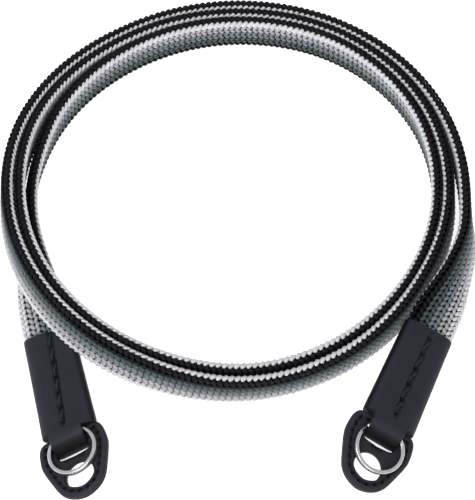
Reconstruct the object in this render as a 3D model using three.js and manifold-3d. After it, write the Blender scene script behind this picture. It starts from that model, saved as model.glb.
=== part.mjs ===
// Silk camera strap lying in a loose coil on a flat surface. A knitted silk band of about three turns
// stands on its edge and ends, flat, in two stitched leather sheaths. A leather tongue on each sheath
// holds a split ring and a leather lug protector.
// Millimetres, +Z up. The origin is the middle of the bounding box's underside.
import * as THREE from "three";
import Module from "manifold-3d";
import { mergeVertices } from "three/addons/utils/BufferGeometryUtils.js";

const wasm = await Module();
wasm.setup();

// ---- Driving dimensions ---------------------------------------------------------------------------
const BAND_WIDTH = 15;
const BAND_THICKNESS = 2.8;
const BAND_CORNER = 1.1;
const BAND_STEP = 5.5;
const BAND_WIDTH_IN_SHEATH = 13.4;
const BAND_TAPER_LENGTH = 3;
const BAND_RUN_IN_SHEATH = 28;

const SHEATH_WALL = 1.1;
const SHEATH_CAVITY_LENGTH = 29;
const SHEATH_OUTER_POWER = 3.2;
const SHEATH_CAVITY_POWER = 4;
const SHEATH_SIDES = 28;

const TONGUE_WIDTH = 11;
const TONGUE_THICKNESS = 1;
const TONGUE_FRONT = -1.5;
const TONGUE_TURN = 1.4;
const TONGUE_ROOT = 4;

const PROTECTOR_THICKNESS = 2.3;
const PROTECTOR_OUTLINE_STEPS = 72;
const SLOT_BACK = -3.2;
const SLOT_FRONT = 0.1;
const SLOT_LENGTH = 11.6;
const SLOT_CORNER = 0.5;
const LUG_HOLE_CENTRE = 7.1;
const LUG_HOLE_DIAMETER = 9.3;
const LUG_HOLE_SIDES = 32;

const RING_OUTER_DIAMETER = 16.1;
const RING_RADIAL = 1.35;
const RING_HEIGHT = 1.7;
const RING_CORNER = 0.3;
const RING_STEPS = 48;

const GAP = 0.3;

// The middle of the coil, in the working frame that the whole strap is laid out in.
const COIL_CENTRE = { x: 0, y: 22 };

// The coil by bearing from its middle (degrees, counterclockwise from above): the radius of each turn's
// centre line, the lean of the band's top edge towards the middle (degrees from upright) and the lift
// of the two upper turns off the floor where they ride over the left end.
const COIL = [
  { bearing: 0, turn1: 74.0, turn2: 68.8, turn3: 65.0, lean: 6, lift: 0 },
  { bearing: 30, turn1: 75.0, turn2: 71.2, turn3: 67.8, lean: 5, lift: 0 },
  { bearing: 60, turn1: 75.7, turn2: 72.4, turn3: 69.1, lean: 4, lift: 0 },
  { bearing: 90, turn1: 75.2, turn2: 71.9, turn3: 68.5, lean: 3, lift: 0 },
  { bearing: 120, turn1: 75.1, turn2: 71.8, turn3: 67.9, lean: 2, lift: 0 },
  { bearing: 150, turn1: 75.6, turn2: 72.0, turn3: 67.5, lean: 4, lift: 2.5 },
  { bearing: 180, turn1: 74.3, turn2: 70.0, turn3: 66.6, lean: 7, lift: 8 },
  { bearing: 210, turn1: 72.6, turn2: 69.1, turn3: 0, lean: 8, lift: 10.4 },
  { bearing: 240, turn1: 70.0, turn2: 66.7, turn3: 0, lean: 5, lift: 7.2 },
  { bearing: 270, turn1: 67.3, turn2: 63.0, turn3: 0, lean: -4, lift: 1.5 },
  { bearing: 300, turn1: 65.6, turn2: 61.5, turn3: 0, lean: -2, lift: 0 },
  { bearing: 330, turn1: 65.9, turn2: 62.6, turn3: 0, lean: 4, lift: 0 },
];
const LAST_FLAT_BEARING = 150;

// The two ends of the band between the coil and the sheath mouths, in the same columns.
const RIGHT_RUN = [
  { bearing: -36.2, radius: 75.1, lean: 75, lift: 1.6 },
  { bearing: -32, radius: 74.5, lean: 64, lift: 1.1 },
  { bearing: -29, radius: 74.4, lean: 54, lift: 0.7 },
  { bearing: -26, radius: 74.4, lean: 45, lift: 0.4 },
  { bearing: -23, radius: 74.5, lean: 36, lift: 0.2 },
  { bearing: -19, radius: 74.6, lean: 28, lift: 0 },
  { bearing: -10.5, radius: 75.0, lean: 16, lift: 0 },
];
const LEFT_RUN = [
  { bearing: 165, radius: 67.2, lean: 8, lift: 0 },
  { bearing: 180, radius: 67.5, lean: 11, lift: 0 },
  { bearing: 188, radius: 67.6, lean: 14, lift: 0 },
  { bearing: 193, radius: 67.9, lean: 19, lift: 0 },
  { bearing: 197, radius: 68.5, lean: 28, lift: 0.1 },
  { bearing: 201, radius: 69.3, lean: 39, lift: 0.3 },
  { bearing: 205, radius: 70.3, lean: 51, lift: 0.6 },
  { bearing: 209, radius: 71.5, lean: 63, lift: 1.0 },
  { bearing: 213, radius: 73.0, lean: 71, lift: 1.4 },
  { bearing: 218.3, radius: 75.6, lean: 74, lift: 1.6 },
];

// Each end's fittings. The protector is placed by the middle of its slot, with the yaw of the line from
// sheath to tip, its pitch (tip down) and its roll about that line. The sheath is placed by the middle of
// its mouth. The split ring's centre sits along and across from the slot's middle.
const ENDS = {
  right: {
    slot: [41.95, -63.1, 5.15], yaw: -113.8, pitch: -1.5, roll: -20.3,
    mouth: [59.9, -23.6, 4.75], sheathYaw: -114.1, sheathPitch: -0.5, sheathRoll: -16,
    ringAlong: 0.8, ringAcross: 0.45,
  },
  left: {
    slot: [-48.9, -66.2, 5.75], yaw: -73.9, pitch: -11, roll: 19.2,
    mouth: [-59.3, -24.9, 4.75], sheathYaw: -75.9, sheathPitch: -1, sheathRoll: 16,
    ringAlong: -0.6, ringAcross: 0.3,
  },
};

// The sheath from its mouth towards the tip: half width, and height above and below its middle plane.
const SHEATH_ROWS = [
  { along: 0, half: 8.1, above: 3.1, below: 3.1 },
  { along: 0.8, half: 8.2, above: 3.15, below: 3.15 },
  { along: 8, half: 8.3, above: 3.15, below: 3.15 },
  { along: 18, half: 8.5, above: 3.0, below: 3.0 },
  { along: 28, half: 8.7, above: 2.95, below: 2.9 },
  { along: 31.5, half: 8.8, above: 3.2, below: 2.8 },
  { along: 33.6, half: 8.8, above: 3.5, below: 2.7 },
  { along: 34.6, half: 8.6, above: 3.5, below: 2.6 },
  { along: 35.2, half: 7.9, above: 3.4, below: 2.5 },
  { along: 35.4, half: 6.6, above: 3.2, below: 2.3 },
];

// The protector's outline: half width at each distance from the slot's middle, towards the tip.
const PROTECTOR_ROWS = [
  { along: -6.4, half: 3.0 },
  { along: -6.4, half: 6.6 },
  { along: -6.1, half: 8.5 },
  { along: -5.3, half: 9.8 },
  { along: -4.0, half: 10.7 },
  { along: -1.1, half: 11.2 },
  { along: 1.4, half: 10.8 },
  { along: 4.9, half: 9.7 },
  { along: 7.0, half: 8.95 },
  { along: 9.3, half: 8.1 },
  { along: 11.3, half: 7.0 },
  { along: 13.0, half: 5.3 },
  { along: 14.2, half: 3.1 },
  { along: 14.8, half: 0.9 },
];

const LEATHER = { color: 0x2a2b33, roughness: 0.55, metalness: 0 };
const SILK = { color: 0x3c4147, roughness: 0.8, metalness: 0 };
const STEEL = { color: 0xc4c3c1, roughness: 0.25, metalness: 1 };

const radians = THREE.MathUtils.degToRad;

/** Value of one column at x: a cubic between the two rows that hold x, its slopes from their neighbours. */
function between(rows, column, key, x) {
  const last = rows.length - 1;
  const slope = (i) => {
    const back = Math.max(i - 1, 0);
    const ahead = Math.min(i + 1, last);
    return (rows[ahead][column] - rows[back][column]) / (rows[ahead][key] - rows[back][key]);
  };
  let i = rows.findIndex((row, index) => index > 0 && x <= row[key]) - 1;
  i = i < 0 ? last - 1 : i;
  const [a, b] = [rows[i], rows[i + 1]];
  const length = b[key] - a[key];
  const s = THREE.MathUtils.clamp((x - a[key]) / length, 0, 1);
  const rise = 3 * s ** 2 - 2 * s ** 3;
  const fromA = (s - 2 * s ** 2 + s ** 3) * length * slope(i);
  const fromB = (s ** 3 - s ** 2) * length * slope(i + 1);
  return a[column] * (1 - rise) + b[column] * rise + fromA + fromB;
}

/** The whole lay from the right sheath's mouth to the left one's, bearings running on through each turn. */
function layRows() {
  const turn = (name, start, raised, until) => COIL
    .filter((row) => row.bearing <= until)
    .map((row) => ({
      bearing: row.bearing + start, radius: row[name], lean: row.lean, lift: raised ? row.lift : 0,
    }));
  return [
    ...RIGHT_RUN,
    ...turn("turn1", 0, true, 360),
    ...turn("turn2", 360, true, 360),
    ...turn("turn3", 720, false, LAST_FLAT_BEARING),
    ...LEFT_RUN.map((row) => ({ ...row, bearing: row.bearing + 720 })),
  ];
}

/** Centre of the band and its lean at a bearing of the lay. */
function layPoint(rows, bearing) {
  const radius = between(rows, "radius", "bearing", bearing);
  const lean = radians(between(rows, "lean", "bearing", bearing));
  const lift = between(rows, "lift", "bearing", bearing);
  const reach = (BAND_WIDTH / 2 - BAND_CORNER) * Math.cos(lean);
  const depth = (BAND_THICKNESS / 2 - BAND_CORNER) * Math.abs(Math.sin(lean));
  const height = Math.max(lift, 0) + reach + depth + BAND_CORNER;
  const angle = radians(bearing);
  const x = COIL_CENTRE.x + radius * Math.cos(angle);
  const y = COIL_CENTRE.y + radius * Math.sin(angle);
  return { centre: new THREE.Vector3(x, y, height), lean };
}

/** Frame of an end piece: x towards the tip, y across, z up out of its upper face. */
function tiltedFrame(origin, yaw, pitch, roll) {
  const turn = new THREE.Matrix4().makeRotationZ(radians(yaw));
  const dip = new THREE.Matrix4().makeRotationY(radians(pitch));
  const tilt = new THREE.Matrix4().makeRotationX(radians(roll));
  return new THREE.Matrix4().makeTranslation(...origin).multiply(turn).multiply(dip).multiply(tilt);
}

/** Frame of an end's protector, split ring and tongue. */
function slotFrame(end) {
  return tiltedFrame(end.slot, end.yaw, end.pitch, end.roll);
}

/** Frame of an end's sheath. */
function mouthFrame(end) {
  return tiltedFrame(end.mouth, end.sheathYaw, end.sheathPitch, end.sheathRoll);
}

/** Straight stretch of the band inside a sheath, from its mouth inwards. */
function sheathRun(end) {
  const frame = mouthFrame(end);
  const count = Math.ceil(BAND_RUN_IN_SHEATH / BAND_STEP);
  const lean = radians(90 - Math.abs(end.sheathRoll));
  return Array.from({ length: count }, (_, i) => {
    const along = BAND_RUN_IN_SHEATH * (i + 1) / count;
    return { centre: new THREE.Vector3(along, 0, 0).applyMatrix4(frame), lean, width: BAND_WIDTH_IN_SHEATH };
  });
}

/** Every station of the band, from the right sheath round the coil into the left one. */
function bandStations() {
  const rows = layRows();
  const first = rows[0].bearing;
  const last = rows[rows.length - 1].bearing;
  const degreesPerStep = THREE.MathUtils.radToDeg(BAND_STEP / COIL[0].turn2);
  const count = Math.round((last - first) / degreesPerStep);
  const lay = Array.from({ length: count + 1 }, (_, i) => {
    const point = layPoint(rows, first + (last - first) * i / count);
    const toMouth = Math.min(i, count - i) * BAND_STEP;
    const open = THREE.MathUtils.smoothstep(toMouth, 0, BAND_TAPER_LENGTH);
    return { ...point, width: THREE.MathUtils.lerp(BAND_WIDTH_IN_SHEATH, BAND_WIDTH, open) };
  });
  return [...sheathRun(ENDS.right).reverse(), ...lay, ...sheathRun(ENDS.left)];
}

/** Closed body through rings of points of equal count, its first and last rings capped. */
function loft(rings) {
  const sides = rings[0].length;
  const positions = rings.flat().flatMap((point) => point.toArray());
  const middle = (ring) => ring.reduce((sum, p) => sum.add(p), new THREE.Vector3()).divideScalar(sides);
  const firstCap = rings.flat().length;
  const lastRing = firstCap - sides;
  positions.push(...middle(rings[0]).toArray(), ...middle(rings[rings.length - 1]).toArray());
  const index = [];
  for (let i = 0; i < rings.length - 1; i += 1) {
    for (let j = 0; j < sides; j += 1) {
      const a = i * sides + j;
      const b = i * sides + (j + 1) % sides;
      index.push(a, b, b + sides, a, b + sides, a + sides);
    }
  }
  for (let j = 0; j < sides; j += 1) {
    const next = (j + 1) % sides;
    index.push(firstCap, next, j);
    index.push(firstCap + 1, lastRing + j, lastRing + next);
  }
  const geometry = new THREE.BufferGeometry();
  geometry.setAttribute("position", new THREE.Float32BufferAttribute(positions, 3));
  geometry.setIndex(index);
  geometry.computeVertexNormals();
  return geometry;
}

/** Rounded rectangle about the origin, three points a corner, counterclockwise. */
function roundedSection(width, height, corner) {
  const centres = [[1, 1, 0], [-1, 1, 90], [-1, -1, 180], [1, -1, 270]];
  return centres.flatMap(([x, y, start]) => [0, 45, 90].map((turn) => {
    const angle = radians(start + turn);
    return new THREE.Vector2(
      x * (width / 2 - corner) + corner * Math.cos(angle),
      y * (height / 2 - corner) + corner * Math.sin(angle),
    );
  }));
}

/** The silk band: its flat section carried along the lay, turned to the lean at each station. */
function silkBand() {
  const stations = bandStations();
  const up = new THREE.Vector3(0, 0, 1);
  const rings = stations.map(({ centre, lean, width }, i) => {
    const back = stations[Math.max(i - 1, 0)].centre;
    const ahead = stations[Math.min(i + 1, stations.length - 1)].centre;
    const along = ahead.clone().sub(back).normalize();
    const outward = along.clone().cross(up).normalize();
    const upward = outward.clone().cross(along);
    const toTop = upward.clone().multiplyScalar(Math.cos(lean)).addScaledVector(outward, -Math.sin(lean));
    const toFace = along.clone().cross(toTop);
    return roundedSection(width, BAND_THICKNESS, BAND_CORNER)
      .map((p) => centre.clone().addScaledVector(toTop, p.x).addScaledVector(toFace, p.y));
  });
  return loft(rings);
}

/** Solid for the boolean library from a three.js geometry. */
function toSolid(geometry) {
  const bare = geometry.clone();
  bare.deleteAttribute("normal");
  bare.deleteAttribute("uv");
  const merged = mergeVertices(bare, 1e-4);
  const mesh = new wasm.Mesh({
    numProp: 3,
    vertProperties: new Float32Array(merged.attributes.position.array),
    triVerts: new Uint32Array(merged.index.array),
  });
  return new wasm.Manifold(mesh);
}

/** three.js geometry from a boolean result. */
function toGeometry(solid) {
  const mesh = solid.getMesh();
  const geometry = new THREE.BufferGeometry();
  geometry.setAttribute("position", new THREE.Float32BufferAttribute(mesh.vertProperties, 3));
  geometry.setIndex(Array.from(mesh.triVerts));
  geometry.computeVertexNormals();
  return geometry;
}

/** One flat-oval ring of the sheath at a distance from its mouth. */
function ovalRing(along, half, above, below, power) {
  return Array.from({ length: SHEATH_SIDES }, (_, j) => {
    const angle = 2 * Math.PI * j / SHEATH_SIDES;
    const across = Math.sign(Math.cos(angle)) * Math.abs(Math.cos(angle)) ** (2 / power);
    const rise = Math.sign(Math.sin(angle)) * Math.abs(Math.sin(angle)) ** (2 / power);
    return new THREE.Vector3(along, half * across, (rise > 0 ? above : below) * rise);
  });
}

/** The sheath's stitched tube, open at the mouth, in its own frame. */
function sheathTube() {
  const outer = SHEATH_ROWS.map((row) => (
    ovalRing(row.along, row.half, row.above, row.below, SHEATH_OUTER_POWER)
  ));
  const open = SHEATH_ROWS.filter((row) => row.along < SHEATH_CAVITY_LENGTH);
  const cavityRing = (row, along) => ovalRing(
    along, row.half - SHEATH_WALL, row.above - SHEATH_WALL, row.below - SHEATH_WALL, SHEATH_CAVITY_POWER,
  );
  const inner = open.slice(1).map((row) => cavityRing(row, row.along));
  inner.unshift(cavityRing(open[0], -1));
  inner.push(cavityRing(open[open.length - 1], SHEATH_CAVITY_LENGTH));
  return toSolid(loft(outer)).subtract(toSolid(loft(inner)));
}

/** Prism of a side profile (towards the tip, up), centred across and width wide. */
function prism(profile, width) {
  const shape = new THREE.Shape(profile.map(([x, y]) => new THREE.Vector2(x, y)));
  const geometry = new THREE.ExtrudeGeometry(shape, { depth: width, bevelEnabled: false });
  geometry.translate(0, 0, -width / 2);
  return geometry.rotateX(Math.PI / 2);
}

/** Split ring, lying on the protector's upper face, with an allowance added all round its wire. */
function ringGeometry(end, allowance) {
  const middleRadius = (RING_OUTER_DIAMETER - RING_RADIAL) / 2;
  const section = roundedSection(RING_RADIAL + 2 * allowance, RING_HEIGHT + 2 * allowance, RING_CORNER)
    .map((p) => new THREE.Vector2(middleRadius + p.x, p.y));
  section.push(section[0].clone());
  const geometry = new THREE.LatheGeometry(section, RING_STEPS);
  geometry.rotateX(Math.PI / 2);
  geometry.translate(end.ringAlong, end.ringAcross, PROTECTOR_THICKNESS / 2 + GAP + RING_HEIGHT / 2);
  return geometry.applyMatrix4(slotFrame(end));
}

/** Leather sheath: the tube, with the tongue that loops over the ring, through the slot and back. */
function leatherSheath(end) {
  const top = PROTECTOR_THICKNESS / 2 + 2 * GAP + RING_HEIGHT;
  const bottom = -PROTECTOR_THICKNESS / 2 - GAP;
  const throat = Math.min(end.ringAlong - RING_OUTER_DIAMETER / 2, PROTECTOR_ROWS[0].along) - GAP;
  const inside = TONGUE_FRONT - TONGUE_TURN;
  const skinTop = top + TONGUE_THICKNESS;
  const skinBottom = bottom - TONGUE_THICKNESS;
  const outline = [
    [throat - TONGUE_ROOT, 0.5 * skinBottom],
    [throat - 1, 0.92 * skinBottom],
    [inside - 1.5, skinBottom],
    [inside + 0.4, 0.95 * skinBottom],
    [TONGUE_FRONT - 0.3, 0.72 * skinBottom],
    [TONGUE_FRONT, 0.4 * skinBottom],
    [TONGUE_FRONT, 0.55 * skinTop],
    [TONGUE_FRONT - 0.35, 0.78 * skinTop],
    [inside + 0.3, 0.93 * skinTop],
    [inside - 1.2, skinTop],
    [throat, skinTop],
    [throat - 1.6, 0.86 * skinTop],
    [throat - TONGUE_ROOT, 0.5 * skinTop],
  ];
  const hollow = [
    [throat, bottom + 0.4],
    [throat + 0.4, bottom],
    [inside - 0.4, bottom],
    [inside, bottom + 0.4],
    [inside, top - 0.4],
    [inside - 0.4, top],
    [throat + 0.8, top],
    [throat, top - 0.8],
  ];
  const atSlot = slotFrame(end);
  const atMouth = mouthFrame(end);
  const tube = sheathTube().transform(atMouth.toArray());
  const tongue = toSolid(prism(outline, TONGUE_WIDTH)).transform(atSlot.toArray());
  const passage = toSolid(prism(hollow, TONGUE_WIDTH + GAP)).transform(atSlot.toArray());
  const roundRing = toSolid(ringGeometry(end, GAP));
  return toGeometry(tube.add(tongue).subtract(passage).subtract(roundRing));
}

/** Lug protector: a flat leather shield with the tongue's slot and the round hole for the camera lug. */
function lugProtector(end) {
  const side = (sign) => PROTECTOR_ROWS.map((row) => new THREE.Vector3(row.along, sign * row.half, 0));
  const points = [...side(-1), ...side(1).reverse()];
  const outline = new THREE.CatmullRomCurve3(points, true).getPoints(PROTECTOR_OUTLINE_STEPS);
  outline.pop();
  const shape = new THREE.Shape(outline.map((p) => new THREE.Vector2(p.x, p.y)));
  const slot = roundedSection(SLOT_FRONT - SLOT_BACK, SLOT_LENGTH, SLOT_CORNER)
    .map((p) => new THREE.Vector2(p.x + (SLOT_FRONT + SLOT_BACK) / 2, p.y));
  shape.holes.push(new THREE.Path(slot));
  const lugHole = Array.from({ length: LUG_HOLE_SIDES }, (_, i) => {
    const angle = 2 * Math.PI * i / LUG_HOLE_SIDES;
    const radius = LUG_HOLE_DIAMETER / 2;
    return new THREE.Vector2(LUG_HOLE_CENTRE + radius * Math.cos(angle), radius * Math.sin(angle));
  });
  shape.holes.push(new THREE.Path(lugHole));
  const geometry = new THREE.ExtrudeGeometry(shape, { depth: PROTECTOR_THICKNESS, bevelEnabled: false });
  geometry.translate(0, 0, -PROTECTOR_THICKNESS / 2);
  return geometry.applyMatrix4(slotFrame(end));
}

/** Named mesh with a material of its own. */
function piece(name, geometry, finish) {
  const mesh = new THREE.Mesh(geometry, new THREE.MeshStandardMaterial(finish));
  mesh.name = name;
  return mesh;
}

/** Moves every piece so the origin is the middle of the underside of the whole strap's bounding box. */
function settle(group) {
  const box = new THREE.Box3().setFromObject(group);
  const middle = box.getCenter(new THREE.Vector3());
  group.children.forEach((mesh) => mesh.geometry.translate(-middle.x, -middle.y, -box.min.z));
  return group;
}

const strap = new THREE.Group();
strap.name = "silk_camera_strap";
strap.add(
  piece("silk_band", silkBand(), SILK),
  piece("right_leather_sheath", leatherSheath(ENDS.right), LEATHER),
  piece("left_leather_sheath", leatherSheath(ENDS.left), LEATHER),
  piece("right_lug_protector", lugProtector(ENDS.right), LEATHER),
  piece("left_lug_protector", lugProtector(ENDS.left), LEATHER),
  piece("right_split_ring", ringGeometry(ENDS.right, 0), STEEL),
  piece("left_split_ring", ringGeometry(ENDS.left, 0), STEEL),
);

export default settle(strap);
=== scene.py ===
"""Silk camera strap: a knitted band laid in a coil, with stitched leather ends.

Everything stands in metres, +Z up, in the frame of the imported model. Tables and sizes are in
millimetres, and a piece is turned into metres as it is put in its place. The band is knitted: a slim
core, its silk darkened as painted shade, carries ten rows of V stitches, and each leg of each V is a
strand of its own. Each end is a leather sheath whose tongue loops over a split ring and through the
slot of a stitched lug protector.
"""

import logging
from dataclasses import dataclass, field
from enum import Enum

import bpy
import numpy as np
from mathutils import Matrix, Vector


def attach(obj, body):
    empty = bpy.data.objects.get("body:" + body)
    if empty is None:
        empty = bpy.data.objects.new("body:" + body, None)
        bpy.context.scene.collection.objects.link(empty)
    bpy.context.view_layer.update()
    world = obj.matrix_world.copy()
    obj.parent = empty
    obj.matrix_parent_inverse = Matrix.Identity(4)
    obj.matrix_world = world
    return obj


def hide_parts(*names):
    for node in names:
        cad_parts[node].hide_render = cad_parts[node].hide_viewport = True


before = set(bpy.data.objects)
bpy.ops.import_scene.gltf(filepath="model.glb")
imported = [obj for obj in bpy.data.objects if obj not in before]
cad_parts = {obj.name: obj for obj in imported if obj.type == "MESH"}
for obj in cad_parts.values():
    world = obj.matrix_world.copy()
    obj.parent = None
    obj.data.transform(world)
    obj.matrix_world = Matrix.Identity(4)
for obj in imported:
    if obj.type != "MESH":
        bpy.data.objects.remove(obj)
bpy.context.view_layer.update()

MM = 0.001
SEED = 20
CURVE_STEPS = 24
UP = (0.0, 0.0, 1.0)

log = logging.getLogger("silk_strap")

# The middle of the coil, and how far the whole lay is lifted to stand on the floor.
COIL_CENTRE = (-0.211, 12.899)
LAY_LIFT = 0.014

# The coil by bearing from its middle (degrees, counterclockwise from above). Columns: bearing, radius
# of the first, second and third turn, lean of the top edge towards the middle (degrees), lift of the
# first two turns where they ride over the left end. The third turn follows the table up to its last
# bearing, and LEFT_RUN goes on from there.
COIL = np.array([
    (0, 74.0, 68.8, 65.0, 6, 0),
    (30, 75.4, 71.4, 67.8, 5, 0),
    (60, 75.7, 72.4, 69.1, 4, 0),
    (90, 75.2, 71.9, 68.5, 3, 0),
    (120, 75.1, 71.8, 67.9, 2, 0),
    (150, 75.6, 72.0, 67.7, 4, 2.5),
    (180, 74.2, 70.2, 0, 7, 8),
    (210, 73.0, 69.5, 0, 11, 10.4),
    (240, 70.4, 67.1, 0, 8, 7.2),
    (270, 67.6, 63.3, 0, -4, 1.5),
    (300, 65.9, 61.8, 0, -2, 0),
    (330, 65.9, 62.6, 0, 4, 0),
], dtype=float)
THIRD_TURN_END = 150

# The two ends of the band between the coil and the sheath mouths. Columns: bearing, radius, lean, lift.
RIGHT_RUN = np.array([
    (-36.2, 75.1, 75, 1.6),
    (-32, 74.5, 64, 1.1),
    (-29, 74.4, 54, 0.7),
    (-26, 74.4, 45, 0.4),
    (-23, 74.5, 36, 0.2),
    (-19, 74.6, 28, 0),
    (-10.5, 75.0, 16, 0),
])
LEFT_RUN = np.array([
    (165, 67.2, 8, 0),
    (180, 67.5, 11, 0),
    (188, 67.6, 14, 0),
    (193, 67.9, 19, 0),
    (197, 68.5, 28, 0.1),
    (201, 69.3, 39, 0.3),
    (205, 70.3, 51, 0.6),
    (209, 71.5, 63, 1.0),
    (213, 73.0, 71, 1.4),
    (218.3, 75.6, 74, 1.6),
])

# The sheath from its mouth towards the tip. Columns: along, half width, height above and below its
# middle plane.
SHEATH_ROWS = np.array([
    (0, 8.1, 3.1, 3.1),
    (0.8, 8.2, 3.15, 3.15),
    (8, 8.3, 3.15, 3.15),
    (18, 8.5, 3.0, 3.0),
    (28, 8.7, 2.95, 2.9),
    (31.5, 8.8, 3.2, 2.8),
    (33.6, 8.8, 3.5, 2.7),
    (34.4, 8.75, 3.6, 2.6),
])

# The protector's outline. Columns: distance from the slot's middle towards the tip, half width.
PROTECTOR_ROWS = np.array([
    (-8.6, 3.0),
    (-8.6, 7.0),
    (-8.2, 9.0),
    (-7.0, 10.25),
    (-4.9, 10.9),
    (-1.1, 11.2),
    (1.4, 10.8),
    (4.9, 9.7),
    (7.0, 8.95),
    (9.3, 8.1),
    (11.3, 7.0),
    (13.0, 5.3),
    (14.2, 3.1),
    (14.8, 0.9),
])

# Middle line of the tongue, from the sheath over the ring, down the slot and back underneath. Columns:
# towards the tip, height above the protector's middle plane, half thickness.
TONGUE_PATH = np.array([
    (-7.4, 3.85, 0.55),
    (-6.4, 3.98, 0.55),
    (-5.2, 3.92, 0.55),
    (-4.1, 3.55, 0.55),
    (-3.2, 2.85, 0.58),
    (-2.5, 1.85, 0.6),
    (-2.2, 0.7, 0.62),
    (-2.2, -0.5, 0.62),
    (-2.5, -1.3, 0.55),
    (-3.2, -1.8, 0.5),
    (-4.4, -1.95, 0.5),
    (-6.6, -1.95, 0.5),
    (-9.0, -1.8, 0.5),
    (-10.5, -1.3, 0.5),
])


class Yarn(Enum):
    """The silks of the band, from its black edge to its white one."""

    BLACK = "silk_black"
    GREEN = "silk_green"
    BLUE = "silk_blue"
    GREY = "silk_grey"
    WHITE = "silk_white"


class Side(Enum):
    """The two ends of the strap, as they lie."""

    RIGHT = "right"
    LEFT = "left"


# The ten rows of stitches from the band's top edge down its outer face and up its inner one, and where
# each begins as a share of the way round. The black rows run on over the edges a little.
FACE = (Yarn.BLACK, Yarn.GREEN, Yarn.BLUE, Yarn.GREY, Yarn.WHITE)
WALES = FACE + FACE
ROW_EDGES = np.array([-0.17, 1.1, 2.1, 3.08, 4.05, 5.0, 6.1, 7.1, 8.12, 9.1, 9.83]) / 10

# How far the rows creep round the band, and how far the middle of its outer face draws up towards the
# top edge. Columns: bearing, creep, draw.
ROW_CREEP = np.array([
    (0, -0.55, 0),
    (180, -0.55, 0),
    (200, -0.1, 0.2),
    (215, 0.1, 0.6),
    (242, 0.12, 0.8),
    (265, 0.5, 0.3),
    (300, 0.5, 0.2),
    (335, -0.2, 0.1),
    (360, -0.55, 0),
])


def between(rows: np.ndarray, x: np.ndarray) -> np.ndarray:
    """Columns of a table at x: a cubic between the two rows that hold x.

    The slope at a row is the rise from the row before it to the row after it, over their distance.

    Args:
        rows: Table of n rows whose first column, the key, rises.
        x: Keys to look up, m of them.

    Returns:
        The other columns at each key, m rows.
    """
    key, values = rows[:, 0], rows[:, 1:]
    last = len(key) - 1
    order = np.arange(last + 1)
    back, ahead = np.maximum(order - 1, 0), np.minimum(order + 1, last)
    slope = (values[ahead] - values[back]) / (key[ahead] - key[back])[:, None]
    i = np.clip(np.searchsorted(key, x) - 1, 0, last - 1)
    length = (key[i + 1] - key[i])[:, None]
    s = np.clip((x - key[i])[:, None] / length, 0, 1)
    rise = 3 * s**2 - 2 * s**3
    from_a = (s - 2 * s**2 + s**3) * length * slope[i]
    from_b = (s**3 - s**2) * length * slope[i + 1]
    return values[i] * (1 - rise) + values[i + 1] * rise + from_a + from_b


def unit(vectors: np.ndarray) -> np.ndarray:
    """Vectors over their own lengths."""
    return vectors / np.linalg.norm(vectors, axis=-1, keepdims=True)


def around(count: int) -> np.ndarray:
    """Angles of a full turn, evenly spaced."""
    return np.linspace(0, 2 * np.pi, count, endpoint=False)


def squarish(count: int, power: float) -> np.ndarray:
    """Points of a unit circle, with the size of each coordinate raised to a power.

    Args:
        count: Number of points.
        power: The power: below 1 it turns the circle into a square with rounded corners.

    Returns:
        The points, count by 2.
    """
    angle = around(count)
    circle = np.stack([np.cos(angle), np.sin(angle)], axis=1)
    return np.sign(circle) * np.abs(circle) ** power


def bell(x: np.ndarray, half: float, power: int = 2) -> np.ndarray:
    """Bell curve: e to the minus of x over its half width, raised to a power."""
    return np.exp(-((x / half) ** power))


def smooth(x: np.ndarray, low: float, high: float) -> np.ndarray:
    """Smooth rise from 0 at low to 1 at high: 3s squared less 2s cubed."""
    s = np.clip((x - low) / (high - low), 0, 1)
    return 3 * s**2 - 2 * s**3


def along_path(points: np.ndarray, count: int, closed: bool = False) -> np.ndarray:
    """Evenly spaced points of the smooth curve through a few points.

    Each stretch is a cubic whose slopes are half the step from the point before to the point after.

    Args:
        points: The points that the curve passes, n by any number of columns.
        count: Number of points wanted.
        closed: Whether the last point runs on into the first.

    Returns:
        The points, equal steps of arc length apart, count rows.
    """
    if closed:
        ring = np.concatenate([points[-1:], points, points[:2]])
    else:
        ring = np.concatenate([2 * points[:1] - points[1:2], points, 2 * points[-1:] - points[-2:-1]])
    p0, p1, p2, p3 = (ring[k:len(ring) - 3 + k, None, :] for k in range(4))
    t = np.linspace(0, 1, CURVE_STEPS, endpoint=False)[None, :, None]
    bend, twist = 2 * p0 - 5 * p1 + 4 * p2 - p3, 3 * p1 - p0 - 3 * p2 + p3
    curve = 0.5 * (2 * p1 + (p2 - p0) * t + bend * t**2 + twist * t**3)
    curve = np.concatenate([curve.reshape(-1, points.shape[1]), ring[-2:-1]])
    steps = np.linalg.norm(np.diff(curve[:, :3], axis=0), axis=1)
    reach = np.concatenate([[0], np.cumsum(steps)])
    wanted = np.linspace(0, reach[-1], count, endpoint=not closed)
    return np.stack([np.interp(wanted, reach, column) for column in curve.T], axis=1)


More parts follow.
